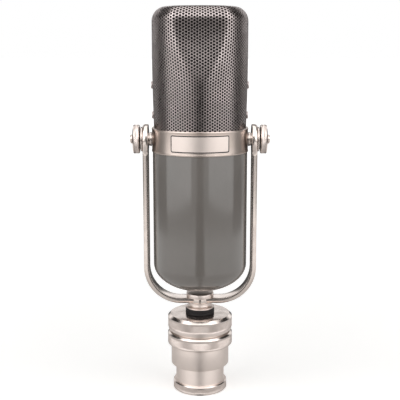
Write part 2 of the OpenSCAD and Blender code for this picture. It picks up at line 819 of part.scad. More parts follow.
// Outer form of the head, drawn in by inset: a turned body whose front and back are cut flatter upwards
module head_form(inset, foot_z) {
    steps = 14;
    zs = [for (i = [0:steps]) band_top + (top_z - corner_r - band_top) * i / steps];
    side_corner = corner_r - inset;
    front_corner = front_corner_r - inset;
    depth_top = grille_r - flat_depth - inset;
    front_zs = [for (i = [0:steps]) band_top + (top_z - front_corner_r - band_top) * i / steps];
    half = concat(
        [[grille_foot_r + flat_lead - inset, foot_z]],
        [for (z = front_zs) [grille_round_r(z) - flat_cut(z) - inset, z]],
        [for (i = [1:6]) let (a = 15 * i) [
            depth_top - front_corner + front_corner * cos(a),
            top_z - front_corner_r + front_corner * sin(a)]]
    );
    skirt = grille_foot_r - 0.1 - inset;
    intersection() {
        turned(concat(
            [[0, foot_z], [skirt, foot_z], [skirt, band_top - 0.1]],
            [for (z = zs) [grille_round_r(z) - inset, z]],
            [for (i = [1:7]) let (a = 90 * i / 7) [
                grille_r - corner_r + side_corner * cos(a),
                top_z - crown - corner_r + side_corner * sin(a)]],
            [[0, top_z - inset]]
        ));
        rotate([90, 0, 90]) translate([0, 0, -40]) linear_extrude(80) polygon(concat(
            half, [for (i = [len(half) - 1:-1:0]) [-half[i][0], half[i][1]]]
        ));
    }
}

module head_grille() {
    color(grille_nickel) difference() {
        head_form(0, head_base_z);
        head_form(grille_t, head_base_z - past);
        for (side = [-1, 1]) grille_screw_holes(side, m2_clear_r);
    }
}

module mesh_liner() {
    color(steel) difference() {
        head_form(grille_t + 0.4, head_floor + 0.1);
        head_form(grille_t + 0.8, head_floor - past);
        for (side = [-1, 1]) grille_screw_holes(side, m2_clear_r);
    }
}

module grille_screws() {
    color(nickel) for (side = [-1, 1], z = grille_screw_zs) {
        seat = grille_round_r(z + grille_screw_r) + 0.02;
        translate([0, 0, z]) rotate([0, 90 * side, 0]) {
            translate([0, 0, seat]) cylinder(r = grille_screw_r, h = 0.75, $fn = 32);
            translate([0, 0, head_rail_x + 0.2]) cylinder(r = m2_r, h = seat - head_rail_x, $fn = 24);
        }
    }
}

stand_nut();
stand_nut_clip();
adapter_barrel();
socket_insert();
socket_contacts();
coupling_ring();
swivel_housing();
plug_insert();
plug_pins();
swivel_bush();
lock_ring();
friction_washer();
yoke_collar();
yoke_strap();
swivel_bolt();
swivel_nut();
dished_washer(-1);  // dished_washer_left
dished_washer(1);  // dished_washer_right
thumb_nut(-1);  // thumb_nut_left
thumb_nut(1);  // thumb_nut_right
trunnion_stud(-1);  // trunnion_stud_left
trunnion_stud(1);  // trunnion_stud_right
spacer_rings(-1);  // spacer_rings_left
spacer_rings(1);  // spacer_rings_right
trunnion_band();
blank_plate();
body_shell();
shell_screw();
chassis_bottom_plate();
chassis_rail(-1);  // chassis_rail_left
chassis_rail(1);  // chassis_rail_right
chassis_top_plate();
chassis_screws();
transformer_core();
transformer_winding();
transformer_bracket();
tube_deck();
tube_socket();
tube_glass();
tube_elements();
tube_pins();
circuit_board();
electrolytic_capacitors();
film_capacitors();
resistors();
head_base();
head_rail(-1);  // head_rail_left
head_rail(1);  // head_rail_right
capsule_post();
capsule_saddle();
capsule_ring();
capsule_backplate();
capsule_diaphragm();
capsule_clamp_ring();
capsule_screws();
head_grille();
mesh_liner();
grille_screws();
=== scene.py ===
"""The looks of a tube condenser microphone that tilts in a swivelling yoke on a stand adapter.

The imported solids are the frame. Each class below is one sub-assembly. It keeps its sizes in millimetres as
fields, takes heights and radii from the frame where the frame has them, and models and dresses its pieces.
"""

import json
import logging
import math
from collections.abc import Callable, Iterable, Sequence
from dataclasses import dataclass, field
from enum import Enum

import bpy
import numpy as np
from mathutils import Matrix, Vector

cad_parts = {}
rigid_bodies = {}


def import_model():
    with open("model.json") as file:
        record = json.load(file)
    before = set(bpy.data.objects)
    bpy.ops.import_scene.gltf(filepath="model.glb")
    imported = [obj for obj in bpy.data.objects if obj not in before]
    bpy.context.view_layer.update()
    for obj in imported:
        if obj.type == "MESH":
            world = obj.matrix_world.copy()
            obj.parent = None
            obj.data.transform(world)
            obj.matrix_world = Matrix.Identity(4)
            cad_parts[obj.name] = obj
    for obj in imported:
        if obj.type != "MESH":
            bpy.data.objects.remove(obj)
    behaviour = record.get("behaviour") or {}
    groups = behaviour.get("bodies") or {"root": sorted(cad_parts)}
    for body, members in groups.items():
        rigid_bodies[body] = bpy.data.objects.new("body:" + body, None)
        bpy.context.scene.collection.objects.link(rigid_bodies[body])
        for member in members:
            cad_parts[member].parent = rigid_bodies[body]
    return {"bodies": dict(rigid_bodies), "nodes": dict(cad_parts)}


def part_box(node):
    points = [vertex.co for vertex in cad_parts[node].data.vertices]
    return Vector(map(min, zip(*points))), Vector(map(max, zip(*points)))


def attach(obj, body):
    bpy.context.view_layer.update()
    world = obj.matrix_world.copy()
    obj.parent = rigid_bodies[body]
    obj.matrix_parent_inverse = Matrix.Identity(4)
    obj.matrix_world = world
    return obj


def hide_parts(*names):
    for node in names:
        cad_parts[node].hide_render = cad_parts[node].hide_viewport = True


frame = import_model()

log = logging.getLogger("microphone")

MM = 0.001
# Distances in metres: points this close are one point, and seams this close are sewn
WELD, SEAM = 2e-6, 2e-5
# A face counts as level where its normal's upright part is above this
LEVEL = 0.9
# Inputs of a node that maps one range of values on another
RANGE = ("Value", "From Min", "From Max", "To Min", "To Max")
Corner = tuple[float, float, float]
Point = tuple[float, float]
Piece = bpy.types.Object
Pick = Callable[[np.ndarray], np.ndarray]
FaceTest = Callable[[Vector, Vector], bool]


def to_linear(hex_colour: str) -> tuple[float, float, float, float]:
    """Turns an sRGB hex colour into the linear colour that a shader takes.

    Args:
        hex_colour: six hex digits.

    Returns:
        Linear red, green and blue, and an alpha of 1.
    """
    knee, foot_slope, shift, power = 0.04045, 12.92, 0.055, 2.4
    channels = [int(hex_colour[i:i + 2], 16) / 255 for i in (0, 2, 4)]
    red, green, blue = [
        c / foot_slope if c <= knee else ((c + shift) / (1 + shift)) ** power for c in channels
    ]
    return red, green, blue, 1.0


def add_node(
    tree: bpy.types.NodeTree, kind: str, inputs: dict | None = None, **settings: object
) -> bpy.types.Node:
    """Adds a node, sets its properties, and links or sets its inputs.

    Args:
        tree: the node tree that takes the node.
        kind: the node's type name without its leading ShaderNode.
        inputs: input name or number, with the socket or the value that goes in.
        settings: properties of the node.

    Returns:
        The new node.
    """
    node = tree.nodes.new("ShaderNode" + kind)
    for name, value in settings.items():
        setattr(node, name, value)
    for name, value in (inputs or {}).items():
        if isinstance(value, bpy.types.NodeSocket):
            tree.links.new(value, node.inputs[name])
        else:
            node.inputs[name].default_value = value
    return node


class Grain(Enum):
    """How a surface was made, which sets the pattern of its finest relief."""

    BLASTED = "blasted"
    TURNED = "turned"
    FACED = "faced"
    SPRAYED = "sprayed"
    PRESSED = "pressed"
    WOVEN = "woven"
    ETCHED = "etched"


@dataclass(frozen=True)
class Finish:
    """One real surface, from which its material is made.

    Attributes:
        name: the real material and how it was made.
        colour: sRGB hex of the clean surface.
        shade: sRGB hex of its duller places, or of the grain's low lines.
        roughness: roughness of the clean places.
        dulling: how much rougher the dull places are.
        grain: how the surface was made.
        pitch: size of the grain in millimetres.
        relief: depth of the grain in millimetres.
        patch: size in millimetres of the soft patches where the shade shows.
        metallic: 1 for a metal.
        coat: weight of a clear coat.
        transmission: 1 for clear glass.
        ior: index of refraction, which a metal leaves at the default.
        streak: how far the highlight is drawn out across rings left by the lathe, from 0 to 1.
    """

    name: str
    colour: str
    shade: str
    roughness: float
    dulling: float = 0.08
    grain: Grain = Grain.BLASTED
    pitch: float = 0.3
    relief: float = 0.005
    patch: float = 9.0
    metallic: float = 0.0
    coat: float = 0.0
    transmission: float = 0.0
    ior: float = 1.5
    streak: float = 0.0

    def height(self, tree: bpy.types.NodeTree, place: bpy.types.NodeSocket) -> bpy.types.NodeSocket:
        """Draws the grain as a height field.

        Args:
            tree: the material's node tree.
            place: the piece's own coordinates in metres.

        Returns:
            The socket that gives the height, from about 0 to 1.
        """
        per_metre = 1 / (self.pitch * MM)
        axes = add_node(tree, "SeparateXYZ", {0: place}).outputs
        if self.grain in (Grain.TURNED, Grain.FACED):
            level = {"X": axes["X"], "Y": axes["Y"]} if self.grain is Grain.FACED else {"Z": axes["Z"]}
            line = add_node(tree, "CombineXYZ", level).outputs[0]
            along = add_node(tree, "VectorMath", {0: line}, operation="LENGTH").outputs["Value"]
            depth = add_node(tree, "CombineXYZ", {"X": along}).outputs[0]
            return add_node(
                tree, "TexNoise", {"Vector": depth, "Scale": per_metre, "Detail": 2.0}
            ).outputs["Fac"]
        if self.grain is Grain.WOVEN:
            waves = [
                add_node(tree, "TexWave", {"Vector": place, "Scale": per_metre / 2},
                         bands_direction=direction).outputs["Fac"]
                for direction in ("X", "Z")
            ]
            return add_node(tree, "Math", dict(enumerate(waves)), operation="MAXIMUM").outputs[0]
        if self.grain is Grain.ETCHED:
            tracks = add_node(
                tree, "TexVoronoi", {"Vector": place, "Scale": per_metre, "Randomness": 0.3},
                distance="CHEBYCHEV",
            )
            return tracks.outputs["Distance"]
        detail = {Grain.SPRAYED: 1.0, Grain.PRESSED: 6.0}.get(self.grain, 3.0)
        return add_node(
            tree, "TexNoise", {"Vector": place, "Scale": per_metre, "Detail": detail}
        ).outputs["Fac"]

    def material(self) -> bpy.types.Material:
        """Makes the material, or returns it where it was made before.

        Returns:
            The finished material.
        """
        made = bpy.data.materials.get(self.name)
        if made:
            return made
        made = bpy.data.materials.new(self.name)
        made.use_nodes = True
        tree = made.node_tree
        tree.nodes.clear()
        dull_from, dull_to = 0.42, 0.7
        place = add_node(tree, "TexCoord").outputs["Object"]
        patches = add_node(tree, "TexNoise", {
            "Vector": place, "Scale": 1 / (self.patch * MM), "Detail": 5.0, "Roughness": 0.6,
        }).outputs["Fac"]
        dull = add_node(
            tree, "MapRange", {"Value": patches, "From Min": dull_from, "From Max": dull_to}
        ).outputs["Result"]
        height = self.height(tree, place)
        lined = self.grain in (Grain.WOVEN, Grain.ETCHED)
        ramp = add_node(tree, "ValToRGB", {"Fac": height if lined else dull})
        for stop, tone in zip(ramp.color_ramp.elements, (self.colour, self.shade)):
            stop.color = to_linear(tone)
        roughness = add_node(tree, "MapRange", {
            "Value": dull, "To Min": self.roughness, "To Max": self.roughness + self.dulling,
        }).outputs["Result"]
        bump = add_node(
            tree, "Bump", {"Height": height, "Distance": self.relief * MM}
        ).outputs["Normal"]
        shader = add_node(tree, "BsdfPrincipled", {
            "Base Color": ramp.outputs["Color"], "Roughness": roughness, "Normal": bump,
            "Metallic": self.metallic, "IOR": self.ior, "Coat Weight": self.coat, "Coat Roughness": 0.08,
            "Transmission Weight": self.transmission,
        })
        if self.streak:
            round_axis = add_node(tree, "Tangent", direction_type="RADIAL", axis="Z").outputs[0]
            tree.links.new(round_axis, shader.inputs["Tangent"])
            shader.inputs["Anisotropic"].default_value = self.streak
        add_node(tree, "OutputMaterial", {"Surface": shader.outputs[0]})
        return made


# Nickel over a bead-blasted ground: pale and warm, and soft enough that nothing shows mirrored in it
SATIN_NICKEL = Finish(
    "satin_nickel_bead_blasted", "D9CDC6", "D2C6BF", 0.4, dulling=0.05, pitch=0.25, relief=0.002,
    patch=14.0, metallic=1.0,
)
# Nickel on a faced top: the tool left fine rings, so light lies across them in streaks
FACED_NICKEL = Finish(
    "nickel_faced_on_the_lathe", "D3C8C1", "C9BDB6", 0.2, grain=Grain.FACED, relief=0.004, metallic=1.0,
    streak=0.75,
)
# Nickel over a buffed ground: close to a mirror, a little clouded by handling
BRIGHT_NICKEL = Finish(
    "bright_nickel_buffed", "D5CAC3", "CABEB7", 0.13, dulling=0.1, pitch=0.8, relief=0.001, metallic=1.0
)
# Nickel rolled and brushed round the band: the walls beside it show as soft brown shadows
BRUSHED_NICKEL = Finish(
    "nickel_brushed_band", "C2B5AD", "B8ABA2", 0.28, dulling=0.06, grain=Grain.TURNED, pitch=0.2,
    relief=0.002, patch=12.0, metallic=1.0,
)
# Nickel over a diamond knurl: a little darker than the satin nickel, with soft darker patches
KNURLED_NICKEL = Finish(
    "nickel_diamond_knurled", "CDC2BC", "C3B7B0", 0.35, dulling=0.06, pitch=0.5, relief=0.003, patch=3.0,
    metallic=1.0,
)
# Nickel over perforated brass sheet, aged: darker and warmer than the turned pieces
SHEET_NICKEL = Finish(
    "nickel_plated_perforated_sheet", "ADA3A1", "9F9593", 0.26, pitch=1.2, relief=0.004, metallic=1.0
)
# Stoving enamel sprayed on brass: a warm mid grey under a clear gloss, with the least orange peel
GREY_ENAMEL = Finish(
    "grey_stoving_enamel_sprayed", "68635F", "64605C", 0.12, dulling=0.03, grain=Grain.SPRAYED, pitch=1.6,
    relief=0.002, patch=25.0, ior=1.65,
)
# Vulcanised fibre stamped from sheet: nearly black, with a dry fibrous surface
BLACK_FIBRE = Finish(
    "black_vulcanised_fibre", "100E10", "191617", 0.6, grain=Grain.PRESSED, pitch=0.5, relief=0.02, patch=3.0,
    ior=1.36,
)
# Black painted into the sunk line round the plate: painted shade for the shadow gap at the plate's edge
SHADE_LINE_BLACK = Finish(
    "black_enamel_wiped_into_line", "171314", "241F1E", 0.4, grain=Grain.SPRAYED, pitch=0.8, relief=0.01,
    patch=4.0,
)
# Fine brass gauze, painted near black as the shade inside the head: no shine, so the holes of the head look
# empty
SHADE_BLACK_GAUZE = Finish(
    "brass_gauze_dyed_black", "050505", "16130F", 0.7, grain=Grain.WOVEN, pitch=0.4, relief=0.08
)
# Mild steel with a thin zinc plate: cool grey, slightly mottled
ZINC_STEEL = Finish(
    "mild_steel_zinc_plated", "B9BCC0", "9A9EA4", 0.33, dulling=0.15, pitch=0.5, relief=0.003, metallic=1.0
)
# Brass turned from bar and left bare: yellow, dulled to brown in patches
TURNED_BRASS = Finish(
    "brass_turned_from_bar", "D2B26C", "A98A4E", 0.25, dulling=0.15, grain=Grain.TURNED, metallic=1.0
)
# Gold plate on small contacts: deep yellow and smooth
GOLD_PLATE = Finish("gold_plate_on_brass", "E8C166", "D4A94F", 0.16, pitch=0.4, relief=0.001, metallic=1.0)
# Gold sputtered on film: a smooth mirror with the least ripple
GOLD_FILM = Finish("gold_sputtered_on_film", "EBC873", "E0B85E", 0.08, pitch=3.0, relief=0.004, metallic=1.0)
# Moulded phenolic: brown-black with a dull skin
PHENOLIC = Finish(
    "phenolic_moulded", "4A2E20", "382218", 0.4, grain=Grain.PRESSED, pitch=0.7, relief=0.006, patch=6.0,
    coat=0.1,
)
# Transformer laminations: dark steel leaves whose edges show as fine lines
LAMINATIONS = Finish(
    "silicon_steel_laminations", "5B5A5C", "3C3A3A", 0.45, grain=Grain.TURNED, pitch=0.35, relief=0.05,
    metallic=1.0,
)
# Enamelled copper wire wound in layers: red-brown, lines across the coil
COPPER_WIRE = Finish(
    "enamelled_copper_wire_wound", "A8552C", "7A3618", 0.28, grain=Grain.TURNED, pitch=0.25, relief=0.06,
    metallic=1.0,
)
# Blown glass of a vacuum tube
TUBE_GLASS = Finish(
    "glass_blown", "F4F7F5", "EAF0EC", 0.03, dulling=0.02, grain=Grain.SPRAYED, pitch=6.0, relief=0.02,
    transmission=1.0,
)
# Glass-fibre laminate with etched tracks under a green lacquer
BOARD = Finish(
    "fibreglass_board_etched", "3F5A34", "5C7A45", 0.35, grain=Grain.ETCHED, pitch=2.2, relief=0.03, coat=0.4
)
# Shrunk plastic sleeve on a capacitor can
SLEEVE = Finish(
    "shrunk_plastic_sleeve", "23406B", "1C3457", 0.3, grain=Grain.SPRAYED, pitch=2.0, relief=0.01, coat=0.2
)
# Resin dip on a film capacitor: thick, glossy and rounded
RESIN_DIP = Finish(
    "resin_dipped_film", "8E3B1F", "7C3019", 0.22, grain=Grain.SPRAYED, pitch=2.5, relief=0.03, coat=0.5
)
# Lacquered body of a resistor
RESISTOR_LACQUER = Finish("lacquered_resistor_body", "C7AE83", "B39A70", 0.38, grain=Grain.SPRAYED, pitch=0.8)
# Pressed paper of the stage floor
FLOOR_PAPER = Finish(
    "seamless_white_paper", "F2F1EF", "EFEEEC", 0.9, grain=Grain.PRESSED, pitch=3.0, relief=0.01
)


def clear_selection() -> None:
    """Leaves edit mode and deselects every object."""
    if bpy.context.object and bpy.context.object.mode != "OBJECT":
        bpy.ops.object.mode_set(mode="OBJECT")
    bpy.ops.object.select_all(action="DESELECT")


class Spindle(Enum):
    """The line a turned piece is turned about."""

    UPRIGHT = (0.0, 0.0, 1.0)
    CROSSWISE = (1.0, 0.0, 0.0)


class Workpiece:
    """A piece on the bench, shaped with modelling operators from a primitive."""

    def __init__(self, name: str) -> None:
        """Takes the primitive that was just added as the piece.

        Args:
            name: the piece's name.
        """
        self.piece: Piece = bpy.context.object
        self.piece.name = name
        self.piece.data.name = name

    def activate(self) -> None:
        """Makes this the only selected object, in object mode."""
        clear_selection()
        self.piece.select_set(True)
        bpy.context.view_layer.objects.active = self.piece

    def edit(self) -> None:
        """Opens the piece in edit mode with all of it selected."""
        self.activate()
        bpy.ops.object.mode_set(mode="EDIT")
        bpy.ops.mesh.select_mode(type="VERT")
        bpy.ops.mesh.select_all(action="SELECT")

    def points(self) -> np.ndarray:
        """Leaves edit mode and reads the vertices' places in millimetres, one row each."""
        if self.piece.mode != "OBJECT":
            bpy.ops.object.mode_set(mode="OBJECT")
        flat = np.zeros(len(self.piece.data.vertices) * 3)
        self.piece.data.vertices.foreach_get("co", flat)
        return flat.reshape(-1, 3) / MM

    def edge_ends(self) -> np.ndarray:
        """Reads the numbers of each edge's two vertices, one row each."""
        ends = np.zeros(len(self.piece.data.edges) * 2, int)
        self.piece.data.edges.foreach_get("vertices", ends)
        return ends.reshape(-1, 2)

    def bend_to(self, places: np.ndarray) -> None:
        """Moves every vertex to a new place, for shapes that follow a formula.

        Args:
            places: the new places in millimetres, one row for each vertex.
        """
        self.activate()
        self.piece.data.vertices.foreach_set("co", (places * MM).ravel())
        self.piece.data.update()

    def choose(self, test: Pick, kind: str = "VERT") -> None:
        """Opens the piece in edit mode with a part of it selected by its place.

        Args:
            test: takes places in millimetres, one row each, and says which are chosen.
            kind: VERT for vertices, EDGE or FACE for those with all their vertices chosen.
        """
        self.activate()
        mesh = self.piece.data
        picked = np.asarray(test(self.points()), bool)
        bpy.context.tool_settings.mesh_select_mode = (kind == "VERT", kind == "EDGE", kind == "FACE")
        edges = picked[self.edge_ends()].all(axis=1)
        faces = [bool(picked[list(face.vertices)].all()) for face in mesh.polygons]
        mesh.vertices.foreach_set("select", picked)
        mesh.edges.foreach_set("select", edges)
        mesh.polygons.foreach_set("select", faces)
        bpy.ops.object.mode_set(mode="EDIT")

    def drop_faces(self, unwanted: np.ndarray) -> None:
        """Deletes faces.

        Args:
            unwanted: True for each face that goes.
        """
        self.activate()
        mesh = self.piece.data
        bpy.context.tool_settings.mesh_select_mode = (False, False, True)
        mesh.vertices.foreach_set("select", np.zeros(len(mesh.vertices), bool))
        mesh.edges.foreach_set("select", np.zeros(len(mesh.edges), bool))
        mesh.polygons.foreach_set("select", unwanted)
        bpy.ops.object.mode_set(mode="EDIT")
        bpy.ops.mesh.delete(type="FACE")
        bpy.ops.object.mode_set(mode="OBJECT")

    def choose_open_edges(self, skip: Pick, with_lines: bool = False) -> None:
        """Opens the piece in edit mode with its open edges selected.

        Args:
            skip: takes the vertices' places and says which ones don't count.
            with_lines: also takes edges that carry no face.
        """
        self.edit()
        bpy.ops.mesh.select_mode(type="EDGE")
        bpy.ops.mesh.select_all(action="DESELECT")
        bpy.ops.mesh.select_non_manifold(
            extend=False, use_wire=with_lines, use_multi_face=False, use_non_contiguous=False, use_verts=False
        )
        bpy.ops.object.mode_set(mode="OBJECT")
        mesh = self.piece.data
        chosen, ends = np.zeros(len(mesh.edges), bool), self.edge_ends()
        mesh.edges.foreach_get("select", chosen)
        chosen &= ~np.asarray(skip(self.points()), bool)[ends].any(axis=1)
        picked = np.zeros(len(mesh.vertices), bool)
        picked[ends[chosen].ravel()] = True
        mesh.vertices.foreach_set("select", picked)
        mesh.edges.foreach_set("select", chosen)
        bpy.ops.object.mode_set(mode="EDIT")

    def weigh_edges(self, weights: dict[float, float]) -> None:
        """Sets how much of a bevel the edges on some upright planes get.

        Args:
            weights: weight by the plane's x in millimetres.
        """
        mesh, near = self.piece.data, 0.01
        across = self.points()[:, 0][self.edge_ends()]
        values = np.zeros(len(across), dtype=np.float32)
        for x, weight in weights.items():
            values[np.all(np.abs(across - x) < near, axis=1)] = weight
        mesh.attributes.new("bevel_weight_edge", "FLOAT", "EDGE").data.foreach_set("value", values)

    def modify(self, kind: str, **settings: object) -> None:
        """Adds a modifier and applies it.

        Args:
            kind: the modifier's type.
            settings: its properties.
        """
        self.activate()
        modifier = self.piece.modifiers.new(kind.lower(), kind)
        for name, value in settings.items():
            setattr(modifier, name, value)
        bpy.ops.object.modifier_apply(modifier=modifier.name)

    def unite(self, other: "Workpiece", how: str = "UNION") -> None:
        """Fuses another workpiece with this one, or cuts it away, and clears it from the bench."""
        self.modify("BOOLEAN", operation=how, object=other.piece, solver="EXACT")
        bpy.data.objects.remove(other.piece, do_unlink=True)

    def take_in(self, others: Iterable["Workpiece"]) -> None:
        """Makes other workpieces a part of this one, as they are.

        Args:
            others: the other workpieces.
        """
        self.activate()
        for other in others:
            other.piece.select_set(True)
        bpy.ops.object.join()

    def turn_over(self) -> None:
        """Turns all faces to look the other way."""
        self.edit()
        bpy.ops.mesh.flip_normals()

    def cut_slot(self, middle: Corner, size: Corner) -> None:
        """Cuts a straight slot for a screwdriver.

        Args:
            middle: the slot's middle in millimetres.
            size: its length, width and height along the axes, in metres.
        """
        clear_selection()
        bpy.ops.mesh.primitive_cube_add(size=1, location=[place * MM for place in middle], scale=size)
        self.unite(Workpiece("Slot"), "DIFFERENCE")

    def close_up(self, threshold: float = WELD) -> None:
        """Merges doubles and turns all faces outwards.

        Args:
            threshold: how close two points are that become one, in metres.
        """
        self.edit()
        bpy.ops.mesh.remove_doubles(threshold=threshold)
        bpy.ops.mesh.normals_make_consistent(inside=False)
        bpy.ops.object.mode_set(mode="OBJECT")

    def hand_over(
        self, finish: Finish, body: str, slot: str, *nodes: str, smooth_degrees: float = 32.0
    ) -> Piece:
        """Dresses the finished piece and puts it on its body.

        Args:
            finish: the surface.
            body: the body that it moves with.
            slot: the record's material slot, which is not used.
            nodes: the frame's nodes that it stands for.
            smooth_degrees: faces that meet at less than this are shaded as one surface.

        Returns:
            The finished object.
        """
        self.activate()
        bpy.ops.object.transform_apply(location=True, rotation=True, scale=True)
        bpy.ops.object.shade_smooth_by_angle(angle=math.radians(smooth_degrees))
        self.piece.data.materials.clear()
        self.piece.data.materials.append(finish.material())
        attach(self.piece, body)
        if nodes:
            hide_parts(*nodes)
        log.info("%s: %d faces on %s", self.piece.name, len(self.piece.data.polygons), body)
        return self.piece


def trace(name: str, places: Sequence[Vector]) -> Workpiece:
    """Draws a closed line: a small square merged to a point, which is extruded from corner to corner.

    Args:
        name: the workpiece's name.
        places: the corners in millimetres.

    Returns:
        The workpiece, in edit mode with its whole line selected.
    """
    clear_selection()
    bpy.ops.mesh.primitive_plane_add(size=MM)
    work = Workpiece(name)
    work.edit()
    bpy.ops.mesh.merge(type="CENTER")
    bpy.ops.transform.translate(value=places[0] * MM)
    loop = [*places, places[0]]
    for here, there in zip(loop, loop[1:]):
        bpy.ops.mesh.extrude_region_move(TRANSFORM_OT_translate={"value": (there - here) * MM})
    bpy.ops.mesh.select_all(action="SELECT")
    bpy.ops.mesh.remove_doubles(threshold=WELD)
    return work


def rounded(corners: Sequence[Corner], steps: int = 3) -> list[Point]:
    """Rounds the corners of a closed outline.

    Args:
        corners: the two coordinates and the rounding radius of each corner.
        steps: straight pieces in each rounding.

    Returns:
        The points of the outline.
    """
    points: list[Point] = []
    for i, (across, up, radius) in enumerate(corners):
        here = Vector((across, up))
        if radius == 0:
            points.append((across, up))
            continue
        back = (Vector(corners[i - 1][:2]) - here).normalized()
        on = (Vector(corners[(i + 1) % len(corners)][:2]) - here).normalized()
        half = back.angle(on) / 2
        centre = here + (back + on).normalized() * (radius / math.sin(half))
        cut = radius / math.tan(half)
        first, last = here + back * cut - centre, here + on * cut - centre
        sweep = math.pi - 2 * half
        for k in range(steps + 1):
            share = sweep * k / steps
            spoke = (first * math.sin(sweep - share) + last * math.sin(share)) / math.sin(sweep)
            points.append(tuple(centre + spoke))
    return points


@dataclass(frozen=True)
class Lathe:
    """A lathe whose spindle lies on the microphone's upright axis or on its tilt axis.

    Attributes:
        spindle: the direction of the spindle.
        height: height of a crosswise spindle in millimetres.
    """

    spindle: Spindle = Spindle.UPRIGHT
    height: float = 0.0

    def place(self, radius: float, along: float) -> Vector:
        """Gives the place of a profile point.

        Args:
            radius: distance from the spindle.
            along: distance along the spindle.

        Returns:
            The place in millimetres.
        """
        if self.spindle is Spindle.UPRIGHT:
            return Vector((radius, 0.0, along))
        return Vector((along, 0.0, self.height + radius))

    def polar(self, points: np.ndarray) -> tuple[np.ndarray, np.ndarray, np.ndarray]:
        """Measures points from the spindle.

        Args:
            points: places in millimetres, one row each.

        Returns:
            Their radii, angles from 0 to 1 turn, and places along the spindle.
        """
        if self.spindle is Spindle.UPRIGHT:
            u, v, along = points[:, 0], points[:, 1], points[:, 2]
        else:
            u, v, along = points[:, 2] - self.height, -points[:, 1], points[:, 0]
        return np.hypot(u, v), np.arctan2(v, u) / (2 * math.pi) % 1.0, along

    def turn(self, name: str, corners: Sequence[Corner], steps: int = 128) -> Workpiece:
        """Turns a closed profile all the way round.

        Args:
            name: the workpiece's name.
            corners: radius, place along the spindle and rounding radius of each corner.
            steps: faces round the piece.

        Returns:
            The closed workpiece.
        """
        work = trace(name, [self.place(r, along) for r, along in rounded(corners)])
        bpy.ops.mesh.spin(
            steps=steps, angle=2 * math.pi, center=(0, 0, self.height * MM), axis=self.spindle.value
        )
        work.close_up()
        return work

    def knurl(self, work: Workpiece, radius: float, steps: int, rows: Sequence[float], depth: float) -> None:
        """Cuts a diamond knurl: every second point of the grid sinks, and the faces fold between them.

        Args:
            work: the turned workpiece, with the same steps and with its profile's points at the rows.
            radius: radius of the knurl's points.
            steps: faces round the piece, an even number.
            rows: places of the rows along the spindle.
            depth: depth of the cuts.
        """
        spacing = rows[1] - rows[0]
        touch = 0.02

        def sunk(points: np.ndarray) -> np.ndarray:
            """Picks every second point of the grid, inside its ends."""
            radii, turn, along = self.polar(points)
            column, row = np.rint(turn * steps), np.rint((along - rows[0]) / spacing)
            inside = (along > rows[0] + touch) & (along < rows[-1] - touch)
            return (np.abs(radii - radius) < touch) & inside & ((column + row) % 2 == 1)

        def band(points: np.ndarray) -> np.ndarray:
            """Picks the whole grid."""
            radii, _, along = self.polar(points)
            inside = (along > rows[0] - touch) & (along < rows[-1] + touch)
            return (radii > radius - depth - touch) & inside

        work.choose(sunk)
        shrink = 1 - depth / radius
        scale = [1.0 if axis else shrink for axis in self.spindle.value]
        bpy.ops.transform.resize(value=scale, center_override=(0, 0, self.height * MM))
        work.choose(band, "FACE")
        bpy.ops.mesh.quads_convert_to_tris(quad_method="SHORTEST_DIAGONAL")
        bpy.ops.object.mode_set(mode="OBJECT")


# Height of the axis that the microphone tilts on, and the lathes for pieces turned upright and on that axis
TILT_Z = 144.4
UPRIGHT_LATHE = Lathe()
TILT_LATHE = Lathe(Spindle.CROSSWISE, TILT_Z)


def knurl_rows(low: float, high: float, spacing: float = 0.72) -> list[float]:
    """Spaces the rows of a knurl evenly between its ends, near a wanted spacing (half a diamond's height)."""
    count = max(2, round((high - low) / spacing))
    return [low + (high - low) * k / count for k in range(count + 1)]


def on_rows(radius: float, rows: Iterable[float]) -> list[Corner]:
    """Writes the rows of a knurl as profile corners."""
    return [(radius, row, 0.0) for row in rows]


def pin(radius: float, start: float, end: float) -> list[Corner]:
    """Writes a plain round pin between two places on the spindle as profile corners."""
    return [(0.0, start, 0.0), (radius, start, 0.0), (radius, end, 0.0), (0.0, end, 0.0)]


def even_steps(radius: float, spacing: float = 0.5) -> int:
    """Gives an even number of faces round a radius, near a wanted width."""
    return 2 * round(math.pi * radius / spacing)


def reach(node: str) -> tuple[Vector, Vector]:
    """Reads a node's lowest and highest corners from the frame, in millimetres."""
    low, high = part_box(node)
    return low / MM, high / MM


def paint(piece: Piece, finish: Finish, test: FaceTest) -> None:
    """Gives another finish to some faces of a piece.

    Args:
        piece: the finished piece.
        finish: their finish.
        test: picks a face by its middle in millimetres and its normal.
    """
    piece.data.materials.append(finish.material())
    slot = len(piece.data.materials) - 1
    for face in piece.data.polygons:
        if test(face.center / MM, face.normal):
            face.material_index = slot


